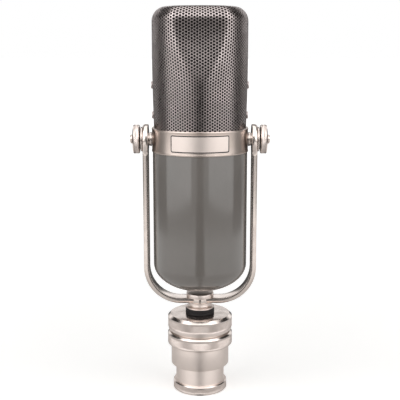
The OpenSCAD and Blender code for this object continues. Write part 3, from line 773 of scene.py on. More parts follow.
@dataclass
class StandAdapter:
    """The foot: a stand nut that turns, the barrel above it and the coupling ring.

    Attributes:
        edge: width of the bright bevels beside the foot's knurl.
        nut_r: radius of the smooth nut above the flange.
        flange_h: height of the knurled flange.
        nut_top: height of the smooth nut's shoulder.
        neck_r: radius of the neck that stands inside the barrel.
        lead_way_r: radius of the way for the lead.
        thread_r: radius of the stand thread's bore.
        thread_depth: depth of the thread.
        thread_pitch: distance between its turns.
        thread_top: height of its upper end.
        knurl_depth: depth of the knurls.
    """

    edge: float = 0.5
    nut_r: float = 13.75
    flange_h: float = 5.0
    nut_top: float = 15.0
    neck_r: float = 11.0
    lead_way_r: float = 6.0
    thread_r: float = 7.43
    thread_depth: float = 0.5
    thread_pitch: float = 25.4 / 27
    thread_top: float = 12.7
    knurl_depth: float = 0.22

    def thread_corners(self) -> list[Corner]:
        """Lists the corners of the stand thread, from its top down to its mouth."""
        corners: list[Corner] = []
        mouth_h = 1.2
        open_half, floor_half = self.thread_pitch * 0.44, self.thread_pitch * 0.06
        deep_r = self.thread_r + self.thread_depth
        for k in range(int((self.thread_top - mouth_h) / self.thread_pitch)):
            z = self.thread_top - self.thread_pitch * (k + 0.5)
            corners += [
                (self.thread_r, z + open_half, 0.0), (deep_r, z + floor_half, 0.0),
                (deep_r, z - floor_half, 0.0), (self.thread_r, z - open_half, 0.0),
            ]
        return corners

    def stand_nut(self) -> Piece:
        """Models the knurled foot flange with the smooth nut above it and the stand thread inside."""
        low, high = reach("stand_nut")
        r, steps = high.x, even_steps(high.x)
        plain, skin = 0.1, 0.4
        rows = knurl_rows(self.edge + plain, self.flange_h - self.edge - plain)
        groove_low, groove_high, groove_r = high.z - 2.0, high.z - 0.8, self.neck_r - 0.8
        mouth_r, mouth_z, roof_z = self.thread_r + 0.8, 0.8, self.thread_top + 1
        half = self.flange_h / 2
        work = UPRIGHT_LATHE.turn("StandNut", [
            (mouth_r, low.z, 0.1), (r - self.edge, low.z, 0.15), (r, self.edge, 0.0),
            *on_rows(r, rows),
            (r, self.flange_h - self.edge, 0.0), (r - self.edge, self.flange_h, 0.15),
            (self.nut_r, self.flange_h, 0.2), (self.nut_r, self.nut_top, 0.3),
            (self.neck_r, self.nut_top, 0.0), (self.neck_r, groove_low, 0.0), (groove_r, groove_low, 0.0),
            (groove_r, groove_high, 0.0), (self.neck_r, groove_high, 0.0), (self.neck_r, high.z, 0.2),
            (self.lead_way_r, high.z, 0.2), (self.lead_way_r, roof_z, 0.0),
            (self.thread_r, self.thread_top, 0.0), *self.thread_corners(), (self.thread_r, mouth_z, 0.0),
        ], steps)
        UPRIGHT_LATHE.knurl(work, r, steps, rows, self.knurl_depth)
        piece = work.hand_over(SATIN_NICKEL, "stand_nut_body", "satin_nickel", "stand_nut")
        paint(piece, KNURLED_NICKEL, lambda middle, out: (
            middle.xy.length > r - skin and middle.z < self.flange_h
        ))
        paint(piece, BRIGHT_NICKEL, lambda middle, out: (
            middle.xy.length > r - self.edge and abs(middle.z - half) > half - self.edge
        ))
        return piece

    def barrel(self) -> Piece:
        """Models the plain barrel with its inner ledges and the catch that holds the coupling ring."""
        low, high = reach("adapter_barrel")
        wall_top, neck_r = 27.0, 13.9
        catch_r, catch_low = 15.4, 29.6
        socket_r, cavity_top = 12.6, 23.0
        cavity_r, bore_r, ledge_top = socket_r + 0.6, self.neck_r + 0.06, low.z + 3.0
        work = UPRIGHT_LATHE.turn("AdapterBarrel", [
            (bore_r, low.z, 0.1), (high.x, low.z, 0.35), (high.x, wall_top, 0.35),
            (neck_r, wall_top, 0.0), (neck_r, catch_low, 0.0), (catch_r, catch_low, 0.1),
            (catch_r, high.z, 0.2), (socket_r, high.z, 0.2), (socket_r, cavity_top, 0.0),
            (cavity_r, cavity_top, 0.0), (cavity_r, ledge_top, 0.0), (bore_r, ledge_top, 0.0),
        ])
        return work.hand_over(SATIN_NICKEL, "base", "satin_nickel", "adapter_barrel")

    def coupling_ring(self) -> Piece:
        """Models the lower knurled ring with its turned shoulder."""
        low, high = reach("coupling_ring")
        r, steps = high.x, even_steps(high.x)
        rows = knurl_rows(low.z + 0.45, high.z - 1.25)
        lip, bevel = 0.35, 1.0
        bore_r, cavity_r, floor_z = 13.98, 15.5, low.z + 2.5
        work = UPRIGHT_LATHE.turn("CouplingRing", [
            (bore_r, low.z, 0.0), (r - lip, low.z, 0.1), (r, low.z + lip, 0.05), *on_rows(r, rows),
            (r, high.z - bevel, 0.05), (r - bevel, high.z, 0.15), (cavity_r, high.z, 0.1),
            (cavity_r, floor_z, 0.0), (bore_r, floor_z, 0.0),
        ], steps)
        UPRIGHT_LATHE.knurl(work, r, steps, rows, self.knurl_depth)
        piece = work.hand_over(KNURLED_NICKEL, "coupling_ring_body", "satin_nickel", "coupling_ring")
        paint(piece, BRIGHT_NICKEL, lambda middle, out: middle.z > high.z - bevel or middle.z < low.z + lip)
        return piece

    def build(self) -> None:
        """Builds the whole adapter."""
        self.stand_nut()
        self.barrel()
        self.coupling_ring()


@dataclass
class SwivelHead:
    """What the yoke turns on: lock ring, black washer, collar and bolt.

    Attributes:
        knurl_depth: depth of the lock ring's knurl.
        bevel: width of its upper bevel.
        lip_h: height of its plain lower lip.
        bore_r: radius of the hole in its top plate.
        plate_t: thickness of that plate.
        hole_r: radius of the hole in washer and collar.
    """

    knurl_depth: float = 0.22
    bevel: float = 1.5
    lip_h: float = 1.4
    bore_r: float = 4.06
    plate_t: float = 3.0
    hole_r: float = 4.05

    def lock_ring(self) -> Piece:
        """Models the upper knurled ring, whose flat top keeps the lathe's rings."""
        low, high = reach("lock_ring")
        r, steps = high.x, even_steps(high.x)
        rows = knurl_rows(low.z + self.lip_h + 0.2, high.z - self.bevel - 0.1)
        cavity_r, lip_r, lip_top, skin = 15.5, r - 0.3, low.z + self.lip_h, 0.1
        plate_low = high.z - self.plate_t
        work = UPRIGHT_LATHE.turn("LockRing", [
            (cavity_r, low.z, 0.1), (lip_r, low.z, 0.15), (lip_r, lip_top, 0.0), (r, lip_top + skin, 0.0),
            *on_rows(r, rows), (r, high.z - self.bevel, 0.0), (r - self.bevel, high.z, 0.12),
            (self.bore_r, high.z, 0.0), (self.bore_r, plate_low, 0.0), (cavity_r, plate_low, 0.0),
        ], steps)
        UPRIGHT_LATHE.knurl(work, r, steps, rows, self.knurl_depth)
        piece = work.hand_over(KNURLED_NICKEL, "lock_ring_body", "satin_nickel", "lock_ring")
        paint(piece, SATIN_NICKEL, lambda middle, out: middle.z < lip_top + skin)
        paint(piece, BRIGHT_NICKEL, lambda middle, out: middle.z > high.z - self.bevel and out.z < LEVEL)
        paint(piece, FACED_NICKEL, lambda middle, out: middle.z > high.z - skin and out.z > LEVEL)
        return piece

    def washer(self) -> Piece:
        """Models the black washer as two leaves with a fine groove between them."""
        low, high = reach("friction_washer")
        mid, groove_h, groove_r = (low.z + high.z) / 2, 0.05, high.x - 0.35
        work = UPRIGHT_LATHE.turn("FrictionWasher", [
            (self.hole_r, low.z, 0.0), (high.x, low.z, 0.35), (high.x, mid - groove_h, 0.3),
            (groove_r, mid, 0.0), (high.x, mid + groove_h, 0.3), (high.x, high.z, 0.35),
            (self.hole_r, high.z, 0.0),
        ])
        return work.hand_over(BLACK_FIBRE, "yoke", "black_fibre", "friction_washer")

    def collar(self) -> Piece:
        """Models the flanged collar between the washer and the strap."""
        low, high = reach("yoke_collar")
        neck_r, flange_top, cove_low, cove_top = 5.7, low.z + 0.7, low.z + 1.0, low.z + 1.6
        work = UPRIGHT_LATHE.turn("YokeCollar", [
            (self.hole_r, low.z, 0.0), (high.x, low.z, 0.2), (high.x, flange_top, 0.2),
            (neck_r + 0.6, cove_low, 0.3), (neck_r, cove_top, 0.5), (neck_r, high.z, 0.0),
            (self.hole_r, high.z, 0.0),
        ])
        return work.hand_over(SATIN_NICKEL, "yoke", "bright_nickel", "yoke_collar")

    def bolt(self) -> Piece:
        """Models the round-headed bolt that holds the yoke."""
        low, high = reach("swivel_bolt")
        shank_r, head_low = 4.0, 54.2
        work = UPRIGHT_LATHE.turn("SwivelBolt", [
            (0.0, low.z, 0.0), (shank_r, low.z, 0.4), (shank_r, head_low, 0.0), (high.x, head_low, 0.25),
            (high.x, high.z, 0.45), (0.0, high.z, 0.0),
        ], steps=96)
        return work.hand_over(SATIN_NICKEL, "yoke", "bright_nickel", "swivel_bolt")

    def build(self) -> None:
        """Builds the whole swivel."""
        self.lock_ring()
        self.washer()
        self.collar()
        self.bolt()


@dataclass
class Yoke:
    """The U-shaped strap with a round eye at the end of each arm.

    Attributes:
        thick: thickness of the strap.
        wide: its width.
        round_r: radius of its outer edges.
        edge_r: radius of its inner edges.
        bend_r: outer radius of the two bends.
        eye_r: radius of the eyes.
        blend_r: radius of the hollow between arm and eye.
        blend_bite: how far the hollow cuts into both.
        boss_r: radius of the boss under the bolt.
        bolt_hole_r: radius of the bolt's hole.
        stud_hole_r: radius of the studs' holes.
    """

    thick: float = 3.2
    wide: float = 9.0
    round_r: float = 1.75
    edge_r: float = 0.3
    bend_r: float = 21.0
    eye_r: float = 8.4
    blend_r: float = 4.0
    blend_bite: float = 0.02
    boss_r: float = 5.7
    bolt_hole_r: float = 4.05
    stud_hole_r: float = 2.56

    def arm_outline(self, bend_z: float) -> list[Point]:
        """Draws one arm from the side, from the bend up round the eye and down again.

        Args:
            bend_z: height where the bend begins.

        Returns:
            Places across and up.
        """
        half = self.wide / 2
        across = half + self.blend_r - self.blend_bite
        span = self.eye_r + self.blend_r - self.blend_bite
        blend_z = TILT_Z - math.sqrt(span ** 2 - across ** 2)
        touch = math.atan2(across, TILT_Z - blend_z)
        side: list[Point] = [(half, bend_z)]
        blend_steps, eye_steps = 8, 26
        for k in range(blend_steps + 1):
            turn = (math.pi / 2 - touch) * k / blend_steps
            side.append((across - self.blend_r * math.cos(turn), blend_z + self.blend_r * math.sin(turn)))
        for k in range(1, eye_steps + 1):
            turn = touch + (math.pi - touch) * k / eye_steps
            side.append((self.eye_r * math.sin(turn), TILT_Z - self.eye_r * math.cos(turn)))
        return side + [(-y, z) for y, z in reversed(side[:-1])]

    def arm(self, low: Vector, high: Vector) -> Workpiece:
        """Models the right half of the strap, from the eye down round the bend to the middle.

        Args:
            low: lowest corner of the strap.
            high: highest corner of the strap.

        Returns:
            The open half, with its cut edge on the middle plane.
        """
        arm_in, bend_z, touch = high.x - self.thick, low.z + self.bend_r, 0.01

        def at_bend(points: np.ndarray) -> np.ndarray:
            """Picks the arm's lower end, where the bend begins."""
            return points[:, 2] < bend_z + touch

        work = trace("YokeStrap", [Vector((arm_in, y, z)) for y, z in self.arm_outline(bend_z)])
        bpy.ops.mesh.edge_face_add()
        bpy.ops.mesh.extrude_region_move(TRANSFORM_OT_translate={"value": (self.thick * MM, 0, 0)})
        work.choose(at_bend, "FACE")
        bpy.ops.mesh.delete(type="ONLY_FACE")
        work.close_up()
        work.weigh_edges({high.x: 1.0, arm_in: self.edge_r / self.round_r})
        work.modify(
            "BEVEL", width=self.round_r * MM, segments=6, limit_method="WEIGHT", use_clamp_overlap=False
        )
        work.choose(at_bend, "EDGE")
        centre_x = (high.x - self.bend_r) * MM
        bpy.ops.mesh.spin(steps=24, angle=-math.pi / 2, center=(centre_x, 0, bend_z * MM), axis=(0, 1, 0))
        bpy.ops.mesh.extrude_region_move(TRANSFORM_OT_translate={"value": (-centre_x, 0, 0)})
        bpy.ops.object.mode_set(mode="OBJECT")
        return work

    def strap(self) -> Piece:
        """Models the whole strap: both halves, the boss under the bolt, and the three holes."""
        low, high = reach("yoke_strap")
        work = self.arm(low, high)
        work.modify("MIRROR", use_axis=(True, False, False), use_mirror_merge=True, merge_threshold=SEAM)
        work.close_up()
        top, past = low.z + self.thick, 1
        work.unite(UPRIGHT_LATHE.turn("Boss", [
            (0.0, low.z, 0.0), (self.boss_r, low.z, 0.3), (self.boss_r, top, 0.3), (0.0, top, 0.0),
        ], steps=96))
        for name, lathe, radius, start, end in (
            ("BoltHole", UPRIGHT_LATHE, self.bolt_hole_r, low.z - past, top + past),
            ("StudHoles", TILT_LATHE, self.stud_hole_r, -high.x - past, high.x + past),
        ):
            work.unite(lathe.turn(name, pin(radius, start, end), steps=64), "DIFFERENCE")
        return work.hand_over(BRIGHT_NICKEL, "yoke", "bright_nickel", "yoke_strap")

    def build(self) -> None:
        """Builds the strap."""
        self.strap()


@dataclass
class TiltClamp:
    """One side's clamp: stud, spacer rings, dished washer and thumb nut.

    Attributes:
        side: 1 for the right, -1 for the left.
        stud_r: radius of the stud's shank.
        knurl_depth: depth of the thumb nut's knurl.
    """

    side: int
    stud_r: float = 2.5
    knurl_depth: float = 0.2

    def word(self) -> str:
        """Names the side as in the frame's nodes."""
        return "right" if self.side > 0 else "left"

    def span(self, node: str) -> tuple[float, float, float]:
        """Reads a node's reach along the tilt axis and its radius.

        Args:
            node: the node's name without its side.

        Returns:
            Nearest and farthest distance from the middle, and the radius.
        """
        low, high = reach(f"{node}_{self.word()}")
        ends = sorted((abs(low.x), abs(high.x)))
        return ends[0], ends[1], high.y

    def turn(self, name: str, corners: Sequence[Corner], steps: int = 96) -> Workpiece:
        """Turns a piece on the tilt axis, with distances measured outwards from the middle.

        Args:
            name: the piece's name without its side.
            corners: radius, distance from the middle and rounding radius of each corner.
            steps: faces round the piece.

        Returns:
            The closed workpiece.
        """
        return TILT_LATHE.turn(
            name + self.word().capitalize(), [(r, self.side * out, fillet) for r, out, fillet in corners],
            steps,
        )

    def thumb_nut(self) -> Piece:
        """Models the knurled thumb nut with its sunk outer bore."""
        near, far, r = self.span("thumb_nut")
        steps = even_steps(r)
        rows = knurl_rows(near + 0.45, far - 0.55, spacing=0.66)
        inner_bevel, outer_bevel, skin = 0.4, 0.5, 0.3
        bore_r, sink_r, sink_h = self.stud_r + 0.06, self.stud_r + 0.7, 0.6
        work = self.turn("ThumbNut", [
            (bore_r, near, 0.0), (r - inner_bevel, near, 0.12), (r, near + inner_bevel, 0.0),
            *on_rows(r, rows), (r, far - outer_bevel, 0.0), (r - outer_bevel, far, 0.12),
            (sink_r, far, 0.1), (bore_r, far - sink_h, 0.0),
        ], steps)
        placed = [self.side * row for row in rows][:: self.side]
        TILT_LATHE.knurl(work, r, steps, placed, self.knurl_depth)
        piece = work.hand_over(
            BRIGHT_NICKEL, f"thumb_{self.word()}", "bright_nickel", f"thumb_nut_{self.word()}"
        )
        paint(piece, KNURLED_NICKEL, lambda middle, out: (
            math.hypot(middle.y, middle.z - TILT_Z) > r - skin
            and near + inner_bevel < abs(middle.x) < far - outer_bevel
        ))
        return piece

    def dished_washer(self) -> Piece:
        """Models the spring washer, hollow towards the arm."""
        near, far, r = self.span("dished_washer")
        dish, thick, bore_r = 0.55, 0.8, self.stud_r + 0.1
        work = self.turn("DishedWasher", [
            (bore_r, near + dish, 0.0), (r, near, 0.15), (r, near + thick, 0.25), (bore_r, far, 0.1),
        ])
        return work.hand_over(BRIGHT_NICKEL, "yoke", "bright_nickel", f"dished_washer_{self.word()}")

    def stud(self) -> Piece:
        """Models the hexagon-headed stud with its thread's last turns and a rounded end."""
        near, far, _ = self.span("trunnion_stud")
        head_r, head_w, turns, pitch, plain = 4.0, 2.2, 7, 0.8, 0.9
        shank_near, root_r = near + head_w - 0.6, self.stud_r - 0.22
        thread: list[Corner] = []
        for k in range(turns):
            z = far - plain - turns * pitch + pitch * k
            thread += [(self.stud_r, z + 0.1, 0.0), (root_r, z + 0.4, 0.0), (self.stud_r, z + 0.7, 0.0)]
        work = self.turn("TrunnionStud", [
            (0.0, shank_near, 0.0), (self.stud_r, shank_near, 0.0), *thread, (self.stud_r, far, 0.85),
            (0.0, far, 0.0),
        ], steps=64)
        clear_selection()
        bpy.ops.mesh.primitive_cylinder_add(
            vertices=6, radius=head_r * MM, depth=head_w * MM, rotation=(0, math.pi / 2, 0),
            location=(self.side * (near + head_w / 2) * MM, 0, TILT_Z * MM),
        )
        head = Workpiece("StudHead")
        head.modify("BEVEL", width=0.25 * MM, segments=2, limit_method="ANGLE", angle_limit=math.radians(50))
        work.unite(head)
        return work.hand_over(BRIGHT_NICKEL, "microphone", "bright_nickel", f"trunnion_stud_{self.word()}")

    def spacers(self) -> Piece:
        """Models the two spacer rings between band and arm."""
        near, far, r = self.span("spacer_rings")
        mid, half_gap = (near + far) / 2, 0.02
        bore_r, outer_r = self.stud_r + 0.03, r - 0.3
        inner = self.turn("SpacerRings", [
            (bore_r, near, 0.0), (r, near, 0.1), (r, mid - half_gap, 0.2), (bore_r, mid - half_gap, 0.0),
        ])
        outer = self.turn("SpacerOuter", [
            (bore_r, mid + half_gap, 0.0), (outer_r, mid + half_gap, 0.2), (outer_r, far, 0.1),
            (bore_r, far, 0.0),
        ])
        inner.take_in([outer])
        return inner.hand_over(BRIGHT_NICKEL, "microphone", "bright_nickel", f"spacer_rings_{self.word()}")

    def build(self) -> None:
        """Builds this side's clamp."""
        self.thumb_nut()
        self.dished_washer()
        self.stud()
        self.spacers()


@dataclass
class BodyAndBand:
    """The painted shell with its domed end, and the nickel band that carries the trunnions.

    Attributes:
        wall: thickness of the shell's wall.
        dome_h: height of the dome.
        spigot_r: radius of the shell's step inside the band.
        seat_r: radius of the band's seats for shell and head.
        shelf_low: height of the underside of the band's shelf.
        shelf_high: height of its upper side.
        bore_r: radius of the hole in the shelf.
        rim_h: height of the band's two rims.
        rim_out: how far they stand out.
        plate_w: width of the blank plate.
        plate_h: its height.
        plate_corner: radius of its corners.
    """

    wall: float = 1.5
    dome_h: float = 15.5
    spigot_r: float = 25.2
    seat_r: float = 25.3
    shelf_low: float = 140.1
    shelf_high: float = 148.7
    bore_r: float = 20.5
    rim_h: float = 0.85
    rim_out: float = 0.15
    plate_w: float = 33.2
    plate_h: float = 9.4
    plate_corner: float = 1.2

    def shell(self) -> Piece:
        """Models the shell: cylinder, elliptical dome, wall and the sunk seat of its screw."""
        low, high = reach("body_shell")
        band_low, _ = reach("trunnion_band")
        r, top, steps = high.x, low.z + self.dome_h, 24
        seat_r, hole_r, clear = 3.3, 1.6, 0.2
        seat_z, mouth_z, seam_z = low.z + 1.2, low.z + self.dome_h * 0.008, band_low.z - 0.05
        inner_r, inner_h = r - self.wall, self.dome_h - 2.2
        turns = [math.pi / 2 * k / steps for k in range(steps + 1)]
        outer = [(r * math.sin(a), top - self.dome_h * math.cos(a), 0.0) for a in turns]
        inner = [(inner_r * math.cos(a), top - inner_h * math.sin(a), 0.0) for a in turns]
        floor = inner[-1][1]
        work = UPRIGHT_LATHE.turn("BodyCasing", [
            (hole_r, seat_z, 0.0), (seat_r, seat_z, 0.0), (seat_r, mouth_z, 0.0),
            *[corner for corner in outer if corner[0] > seat_r + clear],
            (r, seam_z, 0.1), (self.spigot_r, seam_z, 0.0), (self.spigot_r, high.z, 0.1),
            (inner_r, high.z, 0.0), *[corner for corner in inner if corner[0] > hole_r + clear],
            (hole_r, floor, 0.0),
        ], steps=160)
        return work.hand_over(GREY_ENAMEL, "microphone", "grey_enamel", "body_shell")

    def screw(self) -> Piece:
        """Models the slotted screw at the bottom of the dome."""
        low, high = reach("shell_screw")
        head_r, head_top, shank_r = high.x, low.z + 1.05, 1.5
        work = UPRIGHT_LATHE.turn("CasingScrew", [
            (0.0, low.z, 0.0), (head_r, low.z, 0.3), (head_r, head_top, 0.0), (shank_r, head_top, 0.0),
            (shank_r, high.z, 0.2), (0.0, high.z, 0.0),
        ], steps=64)
        work.cut_slot((0, 0, low.z), (0.01, 0.0008, 0.0011))
        return work.hand_over(ZINC_STEEL, "microphone", "bare_steel", "shell_screw")

    def band(self) -> Piece:
        """Models the band: a rim at each edge, the seats inside, the shelf and the trunnion holes."""
        low, high = reach("trunnion_band")
        rim, mid, slope = high.x, high.x - self.rim_out, 0.15
        work = UPRIGHT_LATHE.turn("TrunnionBand", [
            (self.bore_r, self.shelf_low, 0.0), (self.seat_r, self.shelf_low, 0.0), (self.seat_r, low.z, 0.1),
            (rim, low.z, 0.3), (rim, low.z + self.rim_h, 0.12), (mid, low.z + self.rim_h + slope, 0.1),
            (mid, high.z - self.rim_h - slope, 0.1), (rim, high.z - self.rim_h, 0.12), (rim, high.z, 0.3),
            (self.seat_r, high.z, 0.1), (self.seat_r, self.shelf_high, 0.0),
            (self.bore_r, self.shelf_high, 0.0),
        ], steps=192)
        shank_hole_r, head_hole_r, past = 2.55, 4.1, 40.0
        for radius, out in ((shank_hole_r, past), (head_hole_r, self.bore_r)):
            work.unite(TILT_LATHE.turn("TrunnionHole", pin(radius, -out, out), steps=48), "DIFFERENCE")
        return work.hand_over(BRUSHED_NICKEL, "microphone", "satin_nickel", "trunnion_band")

    def plate(self) -> Piece:
        """Models the blank plate: a rounded rectangle with a sunk border line, bent round the band."""
        low, high = reach("blank_plate")
        inner_r, outer_r = 26.42, -low.y
        line_low, line_high = outer_r - 0.14, outer_r - 0.02
        # Width and rise of each step from the edge inwards: the border, the sunk line, the field
        border = ((0.07, 0.0), (0.05, 0.0), (0.06, -0.1), (0.5, 0.0), (0.06, 0.1))
        strips = 34
        clear_selection()
        bpy.ops.mesh.primitive_plane_add(size=1)
        work = Workpiece("BlankPlate")
        work.edit()
        bpy.ops.transform.resize(value=(self.plate_w * MM, self.plate_h * MM, 1))
        bpy.ops.mesh.bevel(
            offset=self.plate_corner * MM, segments=5, affect="VERTICES", offset_type="OFFSET"
        )
        bpy.ops.mesh.extrude_region_move(TRANSFORM_OT_translate={"value": (0, 0, (outer_r - inner_r) * MM)})
        for width, rise in border:
            bpy.ops.mesh.inset(thickness=width * MM, depth=rise * MM)
        bpy.ops.object.mode_set(mode="OBJECT")
        for k in range(1 - strips // 2, strips // 2):
            work.edit()
            bpy.ops.mesh.bisect(plane_co=(self.plate_w / strips * k * MM, 0, 0), plane_no=(1, 0, 0))
        work.close_up()
        flat = work.points()
        turn = flat[:, 0] / outer_r
        radius = inner_r + flat[:, 2]
        work.bend_to(np.column_stack([
            radius * np.sin(turn), -radius * np.cos(turn), flat[:, 1] + (low.z + high.z) / 2,
        ]))
        work.close_up()
        piece = work.hand_over(SATIN_NICKEL, "microphone", "satin_nickel", "blank_plate")
        # The sunk line is painted black: painted shade for the gap round the plate
        paint(piece, SHADE_LINE_BLACK, lambda middle, out: line_low < middle.xy.length < line_high)
        return piece

    def build(self) -> None:
        """Builds shell and band."""
        self.shell()
        self.screw()
        self.band()
        self.plate()


# Spacing of the holes in the flat sheet before it is formed: between columns, and in a column
COLUMN_MM, ROW_MM = 1.37, 1.62


def ease(share: np.ndarray) -> np.ndarray:
    """Goes from 0 to 1 with a soft start and end, as the share goes from 0 to 1."""
    held = np.clip(share, 0.0, 1.0)
    return held * held * (3 - 2 * held)


@dataclass(frozen=True)
class HeadForm:
    """The skin of the head: round at its foot, flat in front and behind at its top, with a rolled upper edge.

    Attributes:
        inset: how far this skin lies inside the outer one.
        foot_z: height where the skin leaves the band.
        top_z: height of the crown.
        foot_r: radius at the foot.
        swell: how much the radius grows on the way up.
        swell_h: height over which it grows.
        flat_from: height where the flats begin.
        flat_h: height over which they deepen.
        flat_depth: how deep they get.
        flat_start: how far outside the round they lie where they begin.
        side_roll: radius of the rolled edge at the sides.
        front_roll: radius of the rolled edge on the flats.
        crown: how much lower the crown is at the full radius.
        drift: how far the columns drift towards the sides at the top, in radians.
    """

    inset: float = 0.0
    foot_z: float = 150.95
    top_z: float = 216.0
    foot_r: float = 25.3
    swell: float = 0.7
    swell_h: float = 39.05
    flat_from: float = 170.0
    flat_h: float = 36.0
    flat_depth: float = 4.9
    flat_start: float = 0.6
    side_roll: float = 7.8
    front_roll: float = 7.5
    crown: float = 0.5
    drift: float = 0.116

    def radii(self, z: np.ndarray) -> tuple[np.ndarray, np.ndarray]:
        """Gives the round's radius and the flat's distance from the axis.

        Args:
            z: heights in millimetres.

        Returns:
            The two distances.
        """
        grown = np.clip((z - self.foot_z) / self.swell_h, 0, 1)
        round_r = self.foot_r + self.swell * np.sin(grown * math.pi / 2)
        flat = round_r - (self.flat_depth * ease((z - self.flat_from) / self.flat_h) - self.flat_start)
        return round_r - self.inset, flat - self.inset

    def outline(self, turn: np.ndarray, z: np.ndarray, drawn_in: np.ndarray) -> tuple[np.ndarray, np.ndarray]:
        """Gives the level outline at a height, drawn in evenly over the rolled edge.

        Args:
            turn: angle from the flat's middle, in radians, up to a quarter turn each way.
            z: heights in millimetres.
            drawn_in: how far the outline is drawn in.

        Returns:
            Place across and distance forwards.
        """
        tiny, steepest, quarter = 1e-6, 1.5, math.pi / 2
        sharp, softer, soft_from, soft_h = 0.05, 0.75, 2, 30
        round_r, flat = self.radii(z)
        edge = np.arccos(np.clip(flat / round_r, -1, 1))
        inner_r, inner_flat = round_r - drawn_in, flat - drawn_in
        inner_edge = np.arccos(np.clip(inner_flat / inner_r, -1, 1))
        has_flat = edge > tiny
        slope = np.tan(np.where(has_flat, edge, 1.0))
        chord = np.where(has_flat, inner_flat * np.tan(inner_edge) / (flat * slope), 1.0)
        size = np.abs(turn)
        on_flat = np.arctan2(flat * np.tan(np.minimum(size, steepest)) * chord, inner_flat)
        on_round = inner_edge + (size - edge) * (quarter - inner_edge) / (quarter - edge)
        where = np.where(size < edge, on_flat, on_round)
        blend = sharp + softer * ease((z - self.flat_from - soft_from) / soft_h)
        straight = inner_flat / np.maximum(np.cos(where), tiny)
        reach_out = 0.5 * (inner_r + straight - np.sqrt((inner_r - straight) ** 2 + blend ** 2))
        return np.sign(turn) * reach_out * np.sin(where), reach_out * np.cos(where)

    def roll(self, angle: np.ndarray) -> tuple[np.ndarray, np.ndarray, np.ndarray]:
        """Describes the rolled edge above a column.

        Args:
            angle: the column's angle at the foot, in radians.

        Returns:
            The column's angle at the top, the roll's radius, and the height of the crown where the roll ends.
        """
        below = 10
        turn = angle + self.drift * np.sin(2 * angle)
        high = np.full_like(turn, self.top_z - below)
        round_r, flat = self.radii(high)
        edge = np.arccos(np.clip(flat / round_r, -1, 1))
        side = ease((np.abs(turn) - edge) / (math.pi / 2 - edge))
        radius = self.front_roll + (self.side_roll - self.front_roll) * side - self.inset
        across, forward = self.outline(turn, high, radius)
        return turn, radius, self.crown_z(across, forward)

    def crown_z(self, across: np.ndarray, forward: np.ndarray) -> np.ndarray:
        """Gives the heights of the gently domed top over places across and forwards."""
        full = self.foot_r + self.swell
        return self.top_z - self.inset - self.crown * (across ** 2 + forward ** 2) / full ** 2

    def roll_start(self, angle: np.ndarray) -> np.ndarray:
        """Gives the height where the rolled edge begins above a column."""
        _, radius, crown_z = self.roll(angle)
        return crown_z - radius

    def arc_at(self, angle: np.ndarray, rolled: float) -> np.ndarray:
        """Gives the lengths up the skin at which the edge above some columns has rolled over by an angle."""
        _, radius, _ = self.roll(angle)
        return self.roll_start(angle) + radius * rolled

    def skin(self, angle: np.ndarray, arc: np.ndarray) -> np.ndarray:
        """Lays points on the front half of the skin.

        Args:
            angle: columns as angles at the foot, in radians.
            arc: lengths up the skin, counted as heights up to where the roll begins.

        Returns:
            Places in millimetres, one row each.
        """
        top_turn, radius, crown_z = self.roll(angle)
        start = crown_z - radius
        rolled = np.clip((arc - start) / radius, 0, math.pi / 2)
        level = np.minimum(arc, start)
        turn = angle + (top_turn - angle) * ease((level - self.flat_from) / self.flat_h)
        across, forward = self.outline(turn, level, radius * (1 - np.cos(rolled)))
        height = np.where(arc < start, arc, crown_z - radius * (1 - np.sin(rolled)))
        return np.column_stack([across, -forward, height])

    def loop(self, angle: np.ndarray, arc: np.ndarray) -> np.ndarray:
        """Lays points on the front half of the skin, and the same behind, for a loop all the way round."""
        front = self.skin(angle, arc)
        return np.vstack([front, front * (-1, -1, 1)])


def stack_loops(name: str, loops: Sequence[np.ndarray], capped: bool = False) -> Workpiece:
    """Models a skin from loops of points, each joined to the next.

    A circle is extruded inwards ring by ring, one millimetre each, and each ring is then moved to its loop.

    Args:
        name: the workpiece's name.
        loops: the loops' places in millimetres, each with as many points.
        capped: closes the last loop with a face.

    Returns:
        The workpiece.
    """
    count, first = len(loops[0]), 50
    clear_selection()
    bpy.ops.mesh.primitive_circle_add(vertices=count, radius=first * MM)
    work = Workpiece(name)
    work.edit()
    for k in range(1, len(loops)):
        shrink = (first - k) / (first + 1 - k)
        bpy.ops.mesh.extrude_edges_move()
        bpy.ops.transform.resize(value=(shrink, shrink, 1), center_override=(0, 0, 0))
    if capped:
        bpy.ops.mesh.edge_face_add()
    flat = work.points()
    rank = np.rint(first - np.hypot(flat[:, 0], flat[:, 1])).astype(int)
    order = np.rint(np.degrees(np.arctan2(flat[:, 1], flat[:, 0])) / (360 / count)).astype(int) % count
    work.bend_to(np.array([loops[k][j] for k, j in zip(rank, order)]))
    return work


